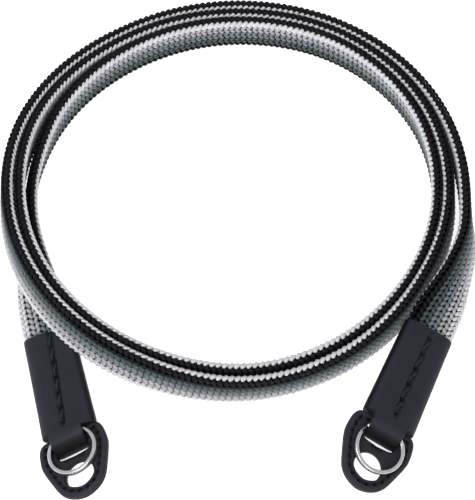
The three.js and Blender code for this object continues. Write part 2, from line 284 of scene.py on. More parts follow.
@dataclass
class Shell:
    """A surface in the making: its points, its faces and what its finish reads from them.

    Attributes:
        points: Corner points, n by 3, in metres.
        quads: Faces of four corners, by point number.
        tris: Faces of three corners, by point number.
        uv: Two numbers a point: how far along a strand, and how far round it.
        tone: One number a point, which a finish reads: a stitch's own tone, wear, and painted light and
            shade.
    """

    points: np.ndarray
    quads: np.ndarray
    tris: np.ndarray = field(default_factory=lambda: np.zeros((0, 3), int))
    uv: np.ndarray | None = None
    tone: np.ndarray | None = None

    @staticmethod
    def joined(shells: list["Shell"]) -> "Shell":
        """One shell out of several, their point numbers run on.

        Args:
            shells: The shells.

        Returns:
            The one shell.
        """
        starts = np.cumsum([0] + [len(s.points) for s in shells[:-1]])
        return Shell(
            points=np.concatenate([s.points for s in shells]),
            quads=np.concatenate([s.quads + n for s, n in zip(shells, starts)]),
            tris=np.concatenate([s.tris + n for s, n in zip(shells, starts)]),
            uv=np.concatenate([s.uv_or_zero() for s in shells]),
            tone=np.concatenate([s.tone_or_zero() for s in shells]),
        )

    def uv_or_zero(self) -> np.ndarray:
        """The shell's own uv, or zeros."""
        return np.zeros((len(self.points), 2)) if self.uv is None else self.uv

    def tone_or_zero(self) -> np.ndarray:
        """The shell's own tone, or zeros."""
        return np.zeros(len(self.points)) if self.tone is None else self.tone

    def to_object(self, name: str) -> bpy.types.Object:
        """Mesh object of the shell, smooth shaded, at the origin.

        Args:
            name: Name of the object.

        Returns:
            The object, linked to the scene.
        """
        corners = np.concatenate([self.quads.ravel(), self.tris.ravel()]).astype(np.int32)
        counts = np.concatenate([np.full(len(self.quads), 4), np.full(len(self.tris), 3)])
        starts = (np.cumsum(counts) - counts).astype(np.int32)
        mesh = bpy.data.meshes.new(name)
        mesh.vertices.add(len(self.points))
        mesh.vertices.foreach_set("co", self.points.astype(np.float32).ravel())
        mesh.loops.add(len(corners))
        mesh.loops.foreach_set("vertex_index", corners)
        mesh.polygons.add(len(counts))
        mesh.polygons.foreach_set("loop_start", starts)
        mesh.polygons.foreach_set("use_smooth", np.ones(len(counts), bool))
        if self.uv is not None:
            layer = mesh.uv_layers.new(name="along_round")
            layer.data.foreach_set("uv", self.uv[corners].astype(np.float32).ravel())
        if self.tone is not None:
            tone = mesh.attributes.new("tone", "FLOAT", "POINT")
            tone.data.foreach_set("value", self.tone.astype(np.float32))
        mesh.update(calc_edges=True)
        mesh.validate()
        made = bpy.data.objects.new(name, mesh)
        bpy.context.collection.objects.link(made)
        return made


def ring_quads(rows: int, columns: int, closed_rows: bool = False) -> np.ndarray:
    """Faces of a grid whose columns close on themselves.

    Args:
        rows: Rings of the grid.
        columns: Points in each ring.
        closed_rows: Whether the last ring joins the first.

    Returns:
        Corner numbers, four a face.
    """
    i = np.arange(rows if closed_rows else rows - 1)[:, None]
    j = np.arange(columns)[None, :]
    here, there = i * columns, (i + 1) % rows * columns
    following = (j + 1) % columns
    return np.stack([here + j, here + following, there + following, there + j], axis=-1).reshape(-1, 4)


def loft(rings: np.ndarray, tone: np.ndarray | None = None, uv: np.ndarray | None = None) -> Shell:
    """Closed surface through rings of points, its first and last rings capped by a fan.

    A ring runs counterclockwise as seen from ahead, so that the faces point outwards.

    Args:
        rings: Points, rows by columns by 3.
        tone: Tone of each point, rows by columns.
        uv: Strand coordinates of each point, rows by columns by 2.

    Returns:
        The shell.
    """
    rows, columns = rings.shape[:2]
    middles = rings[[0, -1]].mean(axis=1)
    j = np.arange(columns)
    following = (j + 1) % columns
    last = (rows - 1) * columns
    first_cap = np.stack([np.full(columns, rows * columns), following, j], axis=1)
    last_cap = np.stack([np.full(columns, rows * columns + 1), last + j, last + following], axis=1)
    return Shell(
        points=np.concatenate([rings.reshape(-1, 3), middles]),
        quads=ring_quads(rows, columns),
        tris=np.concatenate([first_cap, last_cap]),
        uv=None if uv is None else np.concatenate([uv.reshape(-1, 2), uv[[0, -1], 0]]),
        tone=None if tone is None else np.concatenate([tone.ravel(), tone[[0, -1], 0]]),
    )


def tube(path: np.ndarray, width: np.ndarray, depth: np.ndarray, sides: int) -> np.ndarray:
    """Rings of an oval tube carried along a path that is nowhere upright.

    A point of a ring is the path's point, plus width times the cosine of its angle along the side
    direction, plus depth times the sine along the up direction.

    Args:
        path: Points of the path, n by 3.
        width: Half width at each point.
        depth: Half depth at each point.
        sides: Points in a ring.

    Returns:
        The rings, n by sides by 3.
    """
    ahead = unit(np.gradient(path, axis=0))
    side = unit(np.cross(UP, ahead))
    over = np.cross(ahead, side)
    angle = around(sides)[None, :, None]
    across = side[:, None] * width[:, None, None] * np.cos(angle)
    return path[:, None] + across + over[:, None] * depth[:, None, None] * np.sin(angle)


def strand_uv(along: np.ndarray, sides: int) -> np.ndarray:
    """Strand coordinates of a tube: how far along it, and the share of the way round it."""
    share = np.linspace(0, 1, sides, endpoint=False)
    return np.stack(np.meshgrid(along, share, indexing="ij"), axis=-1)


# ---- Finishes -------------------------------------------------------------------------------------


class Nodes:
    """Short way to lay out a material's nodes."""

    def __init__(self, name: str) -> None:
        """Starts a material with one shader and one output.

        Args:
            name: Name of the material.
        """
        self.material = bpy.data.materials.new(name)
        self.material.use_nodes = True
        self.tree = self.material.node_tree
        self.tree.nodes.clear()
        output = self.tree.nodes.new("ShaderNodeOutputMaterial")
        self.shader = self.tree.nodes.new("ShaderNodeBsdfPrincipled")
        self.tree.links.new(self.shader.outputs["BSDF"], output.inputs["Surface"])

    def add(self, kind: str, inputs: dict | None = None, **settings: object) -> bpy.types.Node:
        """Adds a node.

        Args:
            kind: Node type without its ShaderNode prefix.
            inputs: Socket name to a value, or to the output socket that feeds it.
            **settings: Properties of the node itself.

        Returns:
            The node.
        """
        node = self.tree.nodes.new("ShaderNode" + kind)
        for name, value in settings.items():
            setattr(node, name, value)
        self.feed(node, inputs or {})
        return node

    def feed(self, node: bpy.types.Node, inputs: dict) -> None:
        """Sets or links a node's sockets.

        Args:
            node: The node.
            inputs: Socket name to a value, or to the output socket that feeds it.
        """
        for name, value in inputs.items():
            socket = node.inputs[name]
            if isinstance(value, bpy.types.NodeSocket):
                self.tree.links.new(value, socket)
            else:
                socket.default_value = value

    def math(self, operation: str, first: object, second: object) -> bpy.types.NodeSocket:
        """Output of a Math node on two values or sockets."""
        return self.add("Math", {0: first, 1: second}, operation=operation).outputs[0]

    def place(self, kind: str) -> bpy.types.NodeSocket:
        """Coordinates of one kind: UV or Object."""
        return self.add("TexCoord").outputs[kind]

    def tone(self) -> bpy.types.NodeSocket:
        """The piece's own tone attribute."""
        return self.add("Attribute", attribute_name="tone").outputs["Fac"]

    def mapped(self, place: object, turn: float, scale: tuple) -> bpy.types.NodeSocket:
        """Coordinates turned in their plane and scaled."""
        inputs = {"Vector": place, "Rotation": (0, 0, turn), "Scale": scale}
        return self.add("Mapping", inputs).outputs[0]

    def noise(
        self, place: object, scale: float, detail: float, rough: float = 0.5
    ) -> bpy.types.NodeSocket:
        """Value of a Noise node."""
        inputs = {"Vector": place, "Scale": scale, "Detail": detail, "Roughness": rough}
        return self.add("TexNoise", inputs).outputs["Fac"]

    def bump(self, height: object, strength: float, distance: float) -> bpy.types.NodeSocket:
        """Normal of a Bump node."""
        inputs = {"Height": height, "Strength": strength, "Distance": distance}
        return self.add("Bump", inputs).outputs["Normal"]

    def ramp(self, value: object, stops: list[tuple[float, tuple]]) -> bpy.types.NodeSocket:
        """Colour of a value through a ramp.

        Args:
            value: Socket with the value.
            stops: Places and colours along the ramp.

        Returns:
            The colour's socket.
        """
        node = self.add("ValToRGB", {"Fac": value})
        elements = node.color_ramp.elements
        while len(elements) < len(stops):
            elements.new(0.5)
        for element, (place, colour) in zip(elements, stops):
            element.position = place
            element.color = (*colour, 1.0)
        return node.outputs["Color"]

    def remap(
        self, value: object, low: float, high: float, to_low: float, to_high: float
    ) -> bpy.types.NodeSocket:
        """Value moved from one range to another, kept inside it."""
        ranges = {"From Min": low, "From Max": high, "To Min": to_low, "To Max": to_high}
        return self.add("MapRange", {"Value": value, **ranges}).outputs["Result"]


def scaled(colour: tuple, factor: float) -> tuple:
    """A colour times a factor, no brighter than white."""
    return tuple(min(1.0, channel * factor) for channel in colour)


@dataclass(frozen=True)
class KnitSilk:
    """Lustrous silk yarn: fine filaments along each strand and a shade of its own for each leg.

    Attributes:
        slot: The material's name.
        colour: Linear colour of the yarn in the light.
        spread: How far the shade of one leg may lie from the next.
        rough: Roughness of the yarn.
        sheen: Weight of the soft sheen.
        gloss: Level of the clear reflection.
    """

    slot: str
    colour: tuple[float, float, float]
    spread: float = 0.18
    rough: float = 0.62
    sheen: float = 0.25
    gloss: float = 0.35

    def make(self) -> bpy.types.Material:
        """Builds the material.

        Filaments are noise drawn out along the strand and turned a little round it; the shade runs from
        dark to light with the leg's own tone and the filaments.

        Returns:
            The material.
        """
        n = Nodes(self.slot)
        fibre = n.noise(n.mapped(n.place("UV"), 0.5, (1.2, 9.0, 1.0)), 1.0, 2.0, 0.6)
        shade = n.math("ADD", n.math("MULTIPLY", n.tone(), 0.75), n.math("MULTIPLY", fibre, 0.35))
        dark, light = scaled(self.colour, 1 - self.spread), scaled(self.colour, 1 + self.spread)
        n.feed(n.shader, {
            "Base Color": n.ramp(shade, [(0.15, dark), (0.95, light)]),
            "Roughness": n.remap(fibre, 0.3, 0.7, self.rough - 0.08, self.rough + 0.1),
            "Normal": n.bump(fibre, 0.35, 0.00008),
            "Sheen Weight": self.sheen,
            "Sheen Roughness": 0.4,
            "Specular IOR Level": self.gloss,
        })
        return n.material


@dataclass(frozen=True)
class Calf:
    """Smooth matte calf leather: fine pores, faint creases, and edges paler and glossier from wear and
    painted highlight.

    Attributes:
        name: Material's name.
        colour: Linear colour of the flat leather.
        wear_and_light: Linear colour where the tone attribute is 1: on edges, from wear and painted
            highlight, and along crests, a painted highlight.
        deep: Linear colour where the tone attribute is 0: painted shade in slots and grooves.
    """

    name: str = "black_calf"
    colour: tuple[float, float, float] = (0.0205, 0.0215, 0.031)
    wear_and_light: tuple[float, float, float] = (0.036, 0.038, 0.052)
    deep: tuple[float, float, float] = (0.003, 0.003, 0.004)

    def make(self) -> bpy.types.Material:
        """Builds the material.

        Pores are the cell edges of a fine Voronoi pattern, creases a fine noise, and cloudiness a broad
        one. The first two feed the bump, and the last two shift colour and gloss. The tone attribute
        holds wear, painted highlight and painted shade, and moves the colour between them.

        Returns:
            The material.
        """
        n = Nodes(self.name)
        place = n.place("Object")
        pores = n.add("TexVoronoi", {"Vector": place, "Scale": 2400.0}, feature="DISTANCE_TO_EDGE")
        pore = n.remap(pores.outputs["Distance"], 0.0, 0.22, 0.0, 1.0)
        crease = n.noise(place, 900.0, 5.0, 0.6)
        drift = n.math("MULTIPLY", n.math("SUBTRACT", n.noise(place, 130.0, 3.0), 0.5), 0.22)
        speck = n.math("MULTIPLY", n.math("SUBTRACT", crease, 0.5), 0.12)
        # The tone attribute holds edge wear, painted highlight and painted shade, and this sum carries
        # them.
        shade = n.math("ADD", n.math("ADD", n.tone(), drift), speck)
        grain = n.math("ADD", n.math("MULTIPLY", pore, 0.6), crease)
        n.feed(n.shader, {
            "Base Color": n.ramp(shade, [(0.0, self.deep), (0.5, self.colour), (1.0, self.wear_and_light)]),
            "Roughness": n.remap(shade, 0.2, 1.0, 0.62, 0.46),
            "Normal": n.bump(grain, 0.3, 0.00005),
            "Specular IOR Level": 0.16,
            "Sheen Weight": 0.03,
            "Sheen Roughness": 0.5,
        })
        return n.material


@dataclass(frozen=True)
class WaxedThread:
    """Black waxed thread: two plies laid round each other, painted dark between them and light on top.

    Attributes:
        name: Material's name.
        colour: Linear colour between the plies, a painted shade.
        light: Linear colour on top of them, a painted highlight.
        gloss: Level of the clear reflection.
    """

    name: str = "waxed_thread"
    colour: tuple[float, float, float] = (0.006, 0.0063, 0.0085)
    light: tuple[float, float, float] = (0.024, 0.026, 0.035)
    gloss: float = 0.3

    def make(self) -> bpy.types.Material:
        """Builds the material: slanted bands round the strand are the plies, with painted shade and
        highlight.

        Returns:
            The material.
        """
        n = Nodes(self.name)
        lay = n.mapped(n.place("UV"), 0.9, (1.0, 2.0, 1.0))
        plies = n.add("TexWave", {"Vector": lay, "Scale": 0.6, "Distortion": 0.6})
        # The plies' height sets the colour too: painted shade between them, a painted highlight on top.
        height = n.math("ADD", plies.outputs["Fac"], n.math("MULTIPLY", n.noise(lay, 9.0, 3.0), 0.3))
        n.feed(n.shader, {
            "Base Color": n.ramp(height, [(0.2, self.colour), (1.1, self.light)]),
            "Roughness": n.remap(height, 0.0, 1.3, 0.62, 0.42),
            "Normal": n.bump(height, 0.6, 0.00012),
            "Specular IOR Level": self.gloss,
        })
        return n.material


@dataclass(frozen=True)
class RingSteel:
    """Polished nickelled spring steel with fine wear along the wire, and painted shade and highlight.

    Attributes:
        name: Material's name.
        colour: Linear colour of the bright wire.
        dark: Linear colour of the painted shade between and under the turns.
    """

    name: str = "ring_steel"
    colour: tuple[float, float, float] = (0.86, 0.85, 0.88)
    dark: tuple[float, float, float] = (0.05, 0.05, 0.055)

    def make(self) -> bpy.types.Material:
        """Builds the material: scratches run along the wire, and broad noise dulls it in places.

        The tone attribute is painted light and shade: it takes the colour from dark, painted shade
        between and under the turns, to bright, a painted highlight on top.

        Returns:
            The material.
        """
        n = Nodes(self.name)
        scratch = n.noise(n.mapped(n.place("UV"), 0.0, (0.25, 9.0, 1.0)), 1.0, 4.0)
        # Broad noise of wear that dulls the steel in places; times the tone, it gives the painted
        # shade.
        wear_and_light = n.remap(n.noise(n.place("Object"), 420.0, 3.0), 0.3, 0.55, 0.85, 1.0)
        shade = n.math("MULTIPLY", n.tone(), wear_and_light)
        n.feed(n.shader, {
            "Base Color": n.ramp(shade, [(0.0, self.dark), (1.0, self.colour)]),
            "Metallic": 1.0,
            "Roughness": n.remap(scratch, 0.35, 0.7, 0.2, 0.28),
            "Normal": n.bump(scratch, 0.03, 0.00002),
        })
        return n.material


@dataclass(frozen=True)
class StudioFloor:
    """Plain white paper floor, lit a little from behind as a light table is.

    Attributes:
        colour: Linear colour of the paper.
        glow: How strongly it is lit from behind.
    """

    colour: tuple[float, float, float] = (0.93, 0.93, 0.93)
    glow: float = 0.75

    def make(self) -> bpy.types.Material:
        """Builds the material, with a faint tooth to the paper.

        Returns:
            The material.
        """
        n = Nodes("floor_paper")
        n.feed(n.shader, {
            "Base Color": (*self.colour, 1.0),
            "Roughness": 0.9,
            "Specular IOR Level": 0.1,
            "Normal": n.bump(n.noise(n.place("Object"), 700.0, 2.0), 0.05, 0.00005),
            "Emission Color": (1.0, 1.0, 1.0, 1.0),
            "Emission Strength": self.glow,
        })
        return n.material


SILKS = {
    Yarn.BLACK: KnitSilk("silk_black", (0.0074, 0.0070, 0.0108), spread=0.3, sheen=0.0, gloss=0.14),
    Yarn.GREEN: KnitSilk("silk_green", (0.047, 0.07, 0.071), spread=0.3),
    Yarn.BLUE: KnitSilk("silk_blue", (0.165, 0.19, 0.22), spread=0.22),
    Yarn.GREY: KnitSilk("silk_grey", (0.42, 0.41, 0.435), spread=0.16),
    Yarn.WHITE: KnitSilk("silk_white", (0.68, 0.68, 0.71), spread=0.12),
}


@dataclass(frozen=True)
class InnerSilk:
    """The yarn that shows between the stitches: each row's own silk, darkened as painted shade.

    Attributes:
        shade: Share of the outer yarn's colour that it keeps, as painted shade.
    """

    shade: float = 0.07

    def make(self) -> bpy.types.Material:
        """Builds the material.

        One coordinate goes from 0 to 1 down each face, and the silk steps with the face's five rows.

        Returns:
            The material.
        """
        n = Nodes("silk_core")
        place = n.add("SeparateXYZ", {"Vector": n.place("UV")})
        face = n.math("FRACT", place.outputs["Y"], 0.0)
        # Each row's silk cut down to a small share: painted shade in the pits between the stitches.
        colours = [scaled(SILKS[yarn].colour, self.shade) for yarn in FACE]
        rows = n.ramp(face, [(k / len(FACE), colour) for k, colour in enumerate(colours)])
        rows.node.color_ramp.interpolation = "CONSTANT"
        n.feed(n.shader, {"Base Color": rows, "Roughness": 0.9, "Specular IOR Level": 0.0})
        return n.material


def dress(shell: Shell, name: str, finish: object, replaced: list[str]) -> bpy.types.Object:
    """Turns a shell into a finished piece of the strap.

    Args:
        shell: The surface.
        name: Name of the piece.
        finish: Finish whose make() gives the material.
        replaced: Nodes that the piece stands for.

    Returns:
        The piece.
    """
    piece = shell.to_object(name)
    piece.data.materials.append(finish.make())
    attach(piece, "root")
    if replaced:
        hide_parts(*replaced)
    log.info("%s: %d points, %d faces", name, len(shell.points), len(shell.quads) + len(shell.tris))
    return piece


# ---- Frames of the two ends -----------------------------------------------------------------------


@dataclass(frozen=True)
class Seat:
    """Place and tilt of an end piece: x towards the tip, y across, z up out of its upper face.

    Attributes:
        origin: Where it sits, in millimetres.
        yaw: Turn about up, in degrees.
        pitch: Dip of the tip, in degrees.
        roll: Turn about the line to the tip, in degrees.
    """

    origin: tuple[float, float, float]
    yaw: float
    pitch: float
    roll: float

    def axes(self) -> np.ndarray:
        """The seat's axes in the frame.

        Returns:
            Three unit vectors, one a row: towards the tip, across and up.
        """
        yaw, pitch, roll = np.radians([self.yaw, self.pitch, self.roll])
        level = np.array([np.cos(yaw), np.sin(yaw), 0])
        across = np.array([-np.sin(yaw), np.cos(yaw), 0])
        tip = level * np.cos(pitch) - np.array(UP) * np.sin(pitch)
        rise = np.cross(tip, across)
        turned = across * np.cos(roll) + rise * np.sin(roll)
        return np.stack([tip, turned, np.cross(tip, turned)])

    def place(self, points: np.ndarray) -> np.ndarray:
        """Points from the seat's millimetres to the frame's, still in millimetres."""
        return np.asarray(self.origin) + points @ self.axes()

    def strand(
        self, path: np.ndarray, width: np.ndarray, depth: np.ndarray, sides: int, along: np.ndarray
    ) -> Shell:
        """A strand of thread along a path.

        Args:
            path: Points in the seat's millimetres, n by 3.
            width: Half width at each point.
            depth: Half height at each point.
            sides: Points round the strand.
            along: How far along the strand each point lies, for its finish.

        Returns:
            The strand's shell.
        """
        rings = tube(path, width, depth, sides)
        return loft(MM * self.place(rings), uv=strand_uv(along, sides))


@dataclass(frozen=True)
class End:
    """Seats of one end's fittings.

    Attributes:
        side: Which end it is.
        slot: Seat of the protector, at the middle of its slot.
        mouth: Seat of the sheath, at the middle of its mouth.
        ring_along: Ring's centre towards the tip from the slot's middle.
        ring_across: Ring's centre across from it.
        ring_split: Bearing of the split in the ring, in degrees.
        slot_front: Front edge of the protector's slot, which the tongue pulls open.
        slot_bow: How far the ends of that edge fall back.
        seam_across: Where the sheath's seam lies across it, at the mouth and at the tip.
        seam_first: Where the seam's first hole lies.
        seam_pitch: Length from one hole to the next.
        inner: Side of the sheath that faces the other end, 1 or -1 across.
        slant: How much further the sheath's end reaches on its outer side than on its middle.
    """

    side: Side
    slot: Seat
    mouth: Seat
    ring_along: float
    ring_across: float
    ring_split: float
    slot_front: float
    slot_bow: float
    seam_across: tuple[float, float]
    seam_first: float
    seam_pitch: float
    inner: int
    slant: float


RIGHT_END = End(
    side=Side.RIGHT,
    slot=Seat((41.739, -72.201, 5.164), -113.8, -1.5, -20.3),
    mouth=Seat((59.689, -32.701, 4.764), -114.1, -0.5, -16),
    ring_along=0.8,
    ring_across=0.45,
    ring_split=-108,
    slot_front=0.12,
    slot_bow=0.8,
    seam_across=(0.7, 0.7),
    seam_first=3.4,
    seam_pitch=5.65,
    inner=-1,
    slant=0.5,
)
LEFT_END = End(
    side=Side.LEFT,
    slot=Seat((-49.111, -75.301, 5.764), -73.9, -11, 19.2),
    mouth=Seat((-59.511, -34.001, 4.764), -75.9, -1, 16),
    ring_along=-0.6,
    ring_across=0.3,
    ring_split=180,
    slot_front=0.6,
    slot_bow=0.55,
    seam_across=(1.3, -0.65),
    seam_first=0.5,
    seam_pitch=5.2,
    inner=1,
    slant=0.0,
)


# ---- The band -------------------------------------------------------------------------------------


@dataclass
class Lay:
    """The band's route: its middle line and how it is turned, every millimetre.

    Attributes:
        width: Width of the band, in millimetres.
        thickness: Its thickness.
        corner: Rounding of its edges, which sets how high its middle rides when it leans.
        in_sheath: Width where the sheaths press it together.
        sheath_run: Length inside each sheath.
        taper: Length over which it narrows at a sheath's mouth.
        taper_inset: How far inside the mouth that length begins.
        route_points: Points of the route between the mouths, before they are spaced evenly.
        reach: How far along the band each station lies, in millimetres.
        centre: Each station's point of the middle line.
        to_top: Its direction towards the band's top edge.
        to_face: Its direction out of the band's outer face.
        narrowing: Its share of the full width.
        creep: How far the rows creep round the band there, in millimetres.
        draw: How far the middle of the outer face draws up there.
    """

    width: float = 15.0
    thickness: float = 2.8
    corner: float = 1.1
    in_sheath: float = 13.4
    sheath_run: float = 28.0
    taper: float = 1.0
    taper_inset: float = 1.5
    route_points: int = 1400
    reach: np.ndarray = field(init=False)
    centre: np.ndarray = field(init=False)
    to_top: np.ndarray = field(init=False)
    to_face: np.ndarray = field(init=False)
    narrowing: np.ndarray = field(init=False)
    creep: np.ndarray = field(init=False)
    draw: np.ndarray = field(init=False)

    def __post_init__(self) -> None:
        """Works out the stations a millimetre apart, with the frame of the band at each."""
        run, lean = self.route()
        steps = np.linalg.norm(np.diff(run, axis=0), axis=1)
        passed = np.concatenate([[0], np.cumsum(steps)])
        self.reach = np.linspace(0, passed[-1], int(round(passed[-1])) + 1)
        self.centre = np.stack([np.interp(self.reach, passed, column) for column in run.T], axis=1)
        lean = np.interp(self.reach, passed, lean)
        index = np.arange(len(self.reach))
        before, after = np.maximum(index - 3, 0), np.minimum(index + 3, index[-1])
        ahead = unit(self.centre[after] - self.centre[before])
        outward = unit(np.cross(ahead, UP))
        upward = np.cross(outward, ahead)
        self.to_top = upward * np.cos(lean)[:, None] - outward * np.sin(lean)[:, None]
        self.to_face = np.cross(ahead, self.to_top)
        x, y = (self.centre[:, :2] - COIL_CENTRE).T
        bearing = np.degrees(np.arctan2(y, x)) % 360
        self.creep, self.draw = (np.interp(bearing, ROW_CREEP[:, 0], c) for c in ROW_CREEP[:, 1:].T)
        to_mouth = np.minimum(self.reach, self.reach[-1] - self.reach) - self.sheath_run
        free = smooth(to_mouth, -self.taper_inset, self.taper - self.taper_inset)
        self.narrowing = 1 - (1 - self.in_sheath / self.width) * (1 - free)

    def route(self) -> tuple[np.ndarray, np.ndarray]:
        """Middle line and lean from inside the right sheath, round the coil, into the left one.

        A point's height is the floor's, plus the lift, plus what the leaning section needs to clear it.

        Returns:
            Points in millimetres, and the lean at each in radians.
        """
        def turn(column: int, start: float, raised: float, until: float) -> np.ndarray:
            """Rows of one turn of the coil, up to a bearing, with the turns before it added."""
            bearing, radius, lean, lift = COIL[COIL[:, 0] <= until][:, [0, column, 4, 5]].T
            return np.stack([bearing + start, radius, lean, lift * raised], axis=1)

        rows = np.concatenate([
            RIGHT_RUN,
            turn(1, 0, 1, 360),
            turn(2, 360, 1, 360),
            turn(3, 720, 0, THIRD_TURN_END),
            LEFT_RUN + np.array([720, 0, 0, 0]),
        ])
        bearing = np.linspace(rows[0, 0], rows[-1, 0], self.route_points)
        radius, lean, lift = between(rows, bearing).T
        lean = np.radians(lean)
        needed = (self.width / 2 - self.corner) * np.cos(lean) + self.corner
        needed += (self.thickness / 2 - self.corner) * np.abs(np.sin(lean))
        angle = np.radians(bearing)
        coil = np.stack([
            COIL_CENTRE[0] + radius * np.cos(angle),
            COIL_CENTRE[1] + radius * np.sin(angle),
            LAY_LIFT + np.maximum(lift, 0) + needed,
        ], axis=1)
        inside = np.linspace(0, self.sheath_run, 7)[1:]
        straight = np.stack([inside, 0 * inside, 0 * inside], axis=1)
        seats = (RIGHT_END.mouth, LEFT_END.mouth)
        right, left = (seat.place(straight) for seat in seats)
        leans = [np.full(len(inside), np.radians(90 - abs(seat.roll))) for seat in seats]
        points = np.concatenate([right[::-1], coil, left])
        return points, np.concatenate([leans[0], lean, leans[1]])

    def length(self) -> float:
        """Length of the band, in millimetres."""
        return float(self.reach[-1])

    def place(self, along: np.ndarray, x: np.ndarray, y: np.ndarray) -> np.ndarray:
        """Points of the band from its own measures to the frame, in metres.

        Args:
            along: How far along the band, in millimetres.
            x: How far out of its outer face.
            y: How far up from its middle line towards its top edge.

        Returns:
            The points, one more axis of 3.
        """
        def at(columns: np.ndarray) -> np.ndarray:
            """Columns kept by station, at the places along the band."""
            return np.stack([np.interp(along, self.reach, column) for column in columns.T], axis=-1)

        narrow = np.interp(along, self.reach, self.narrowing)
        top, face = unit(at(self.to_top)), unit(at(self.to_face))
        return MM * (at(self.centre) + top * (y * narrow)[..., None] + face * x[..., None])


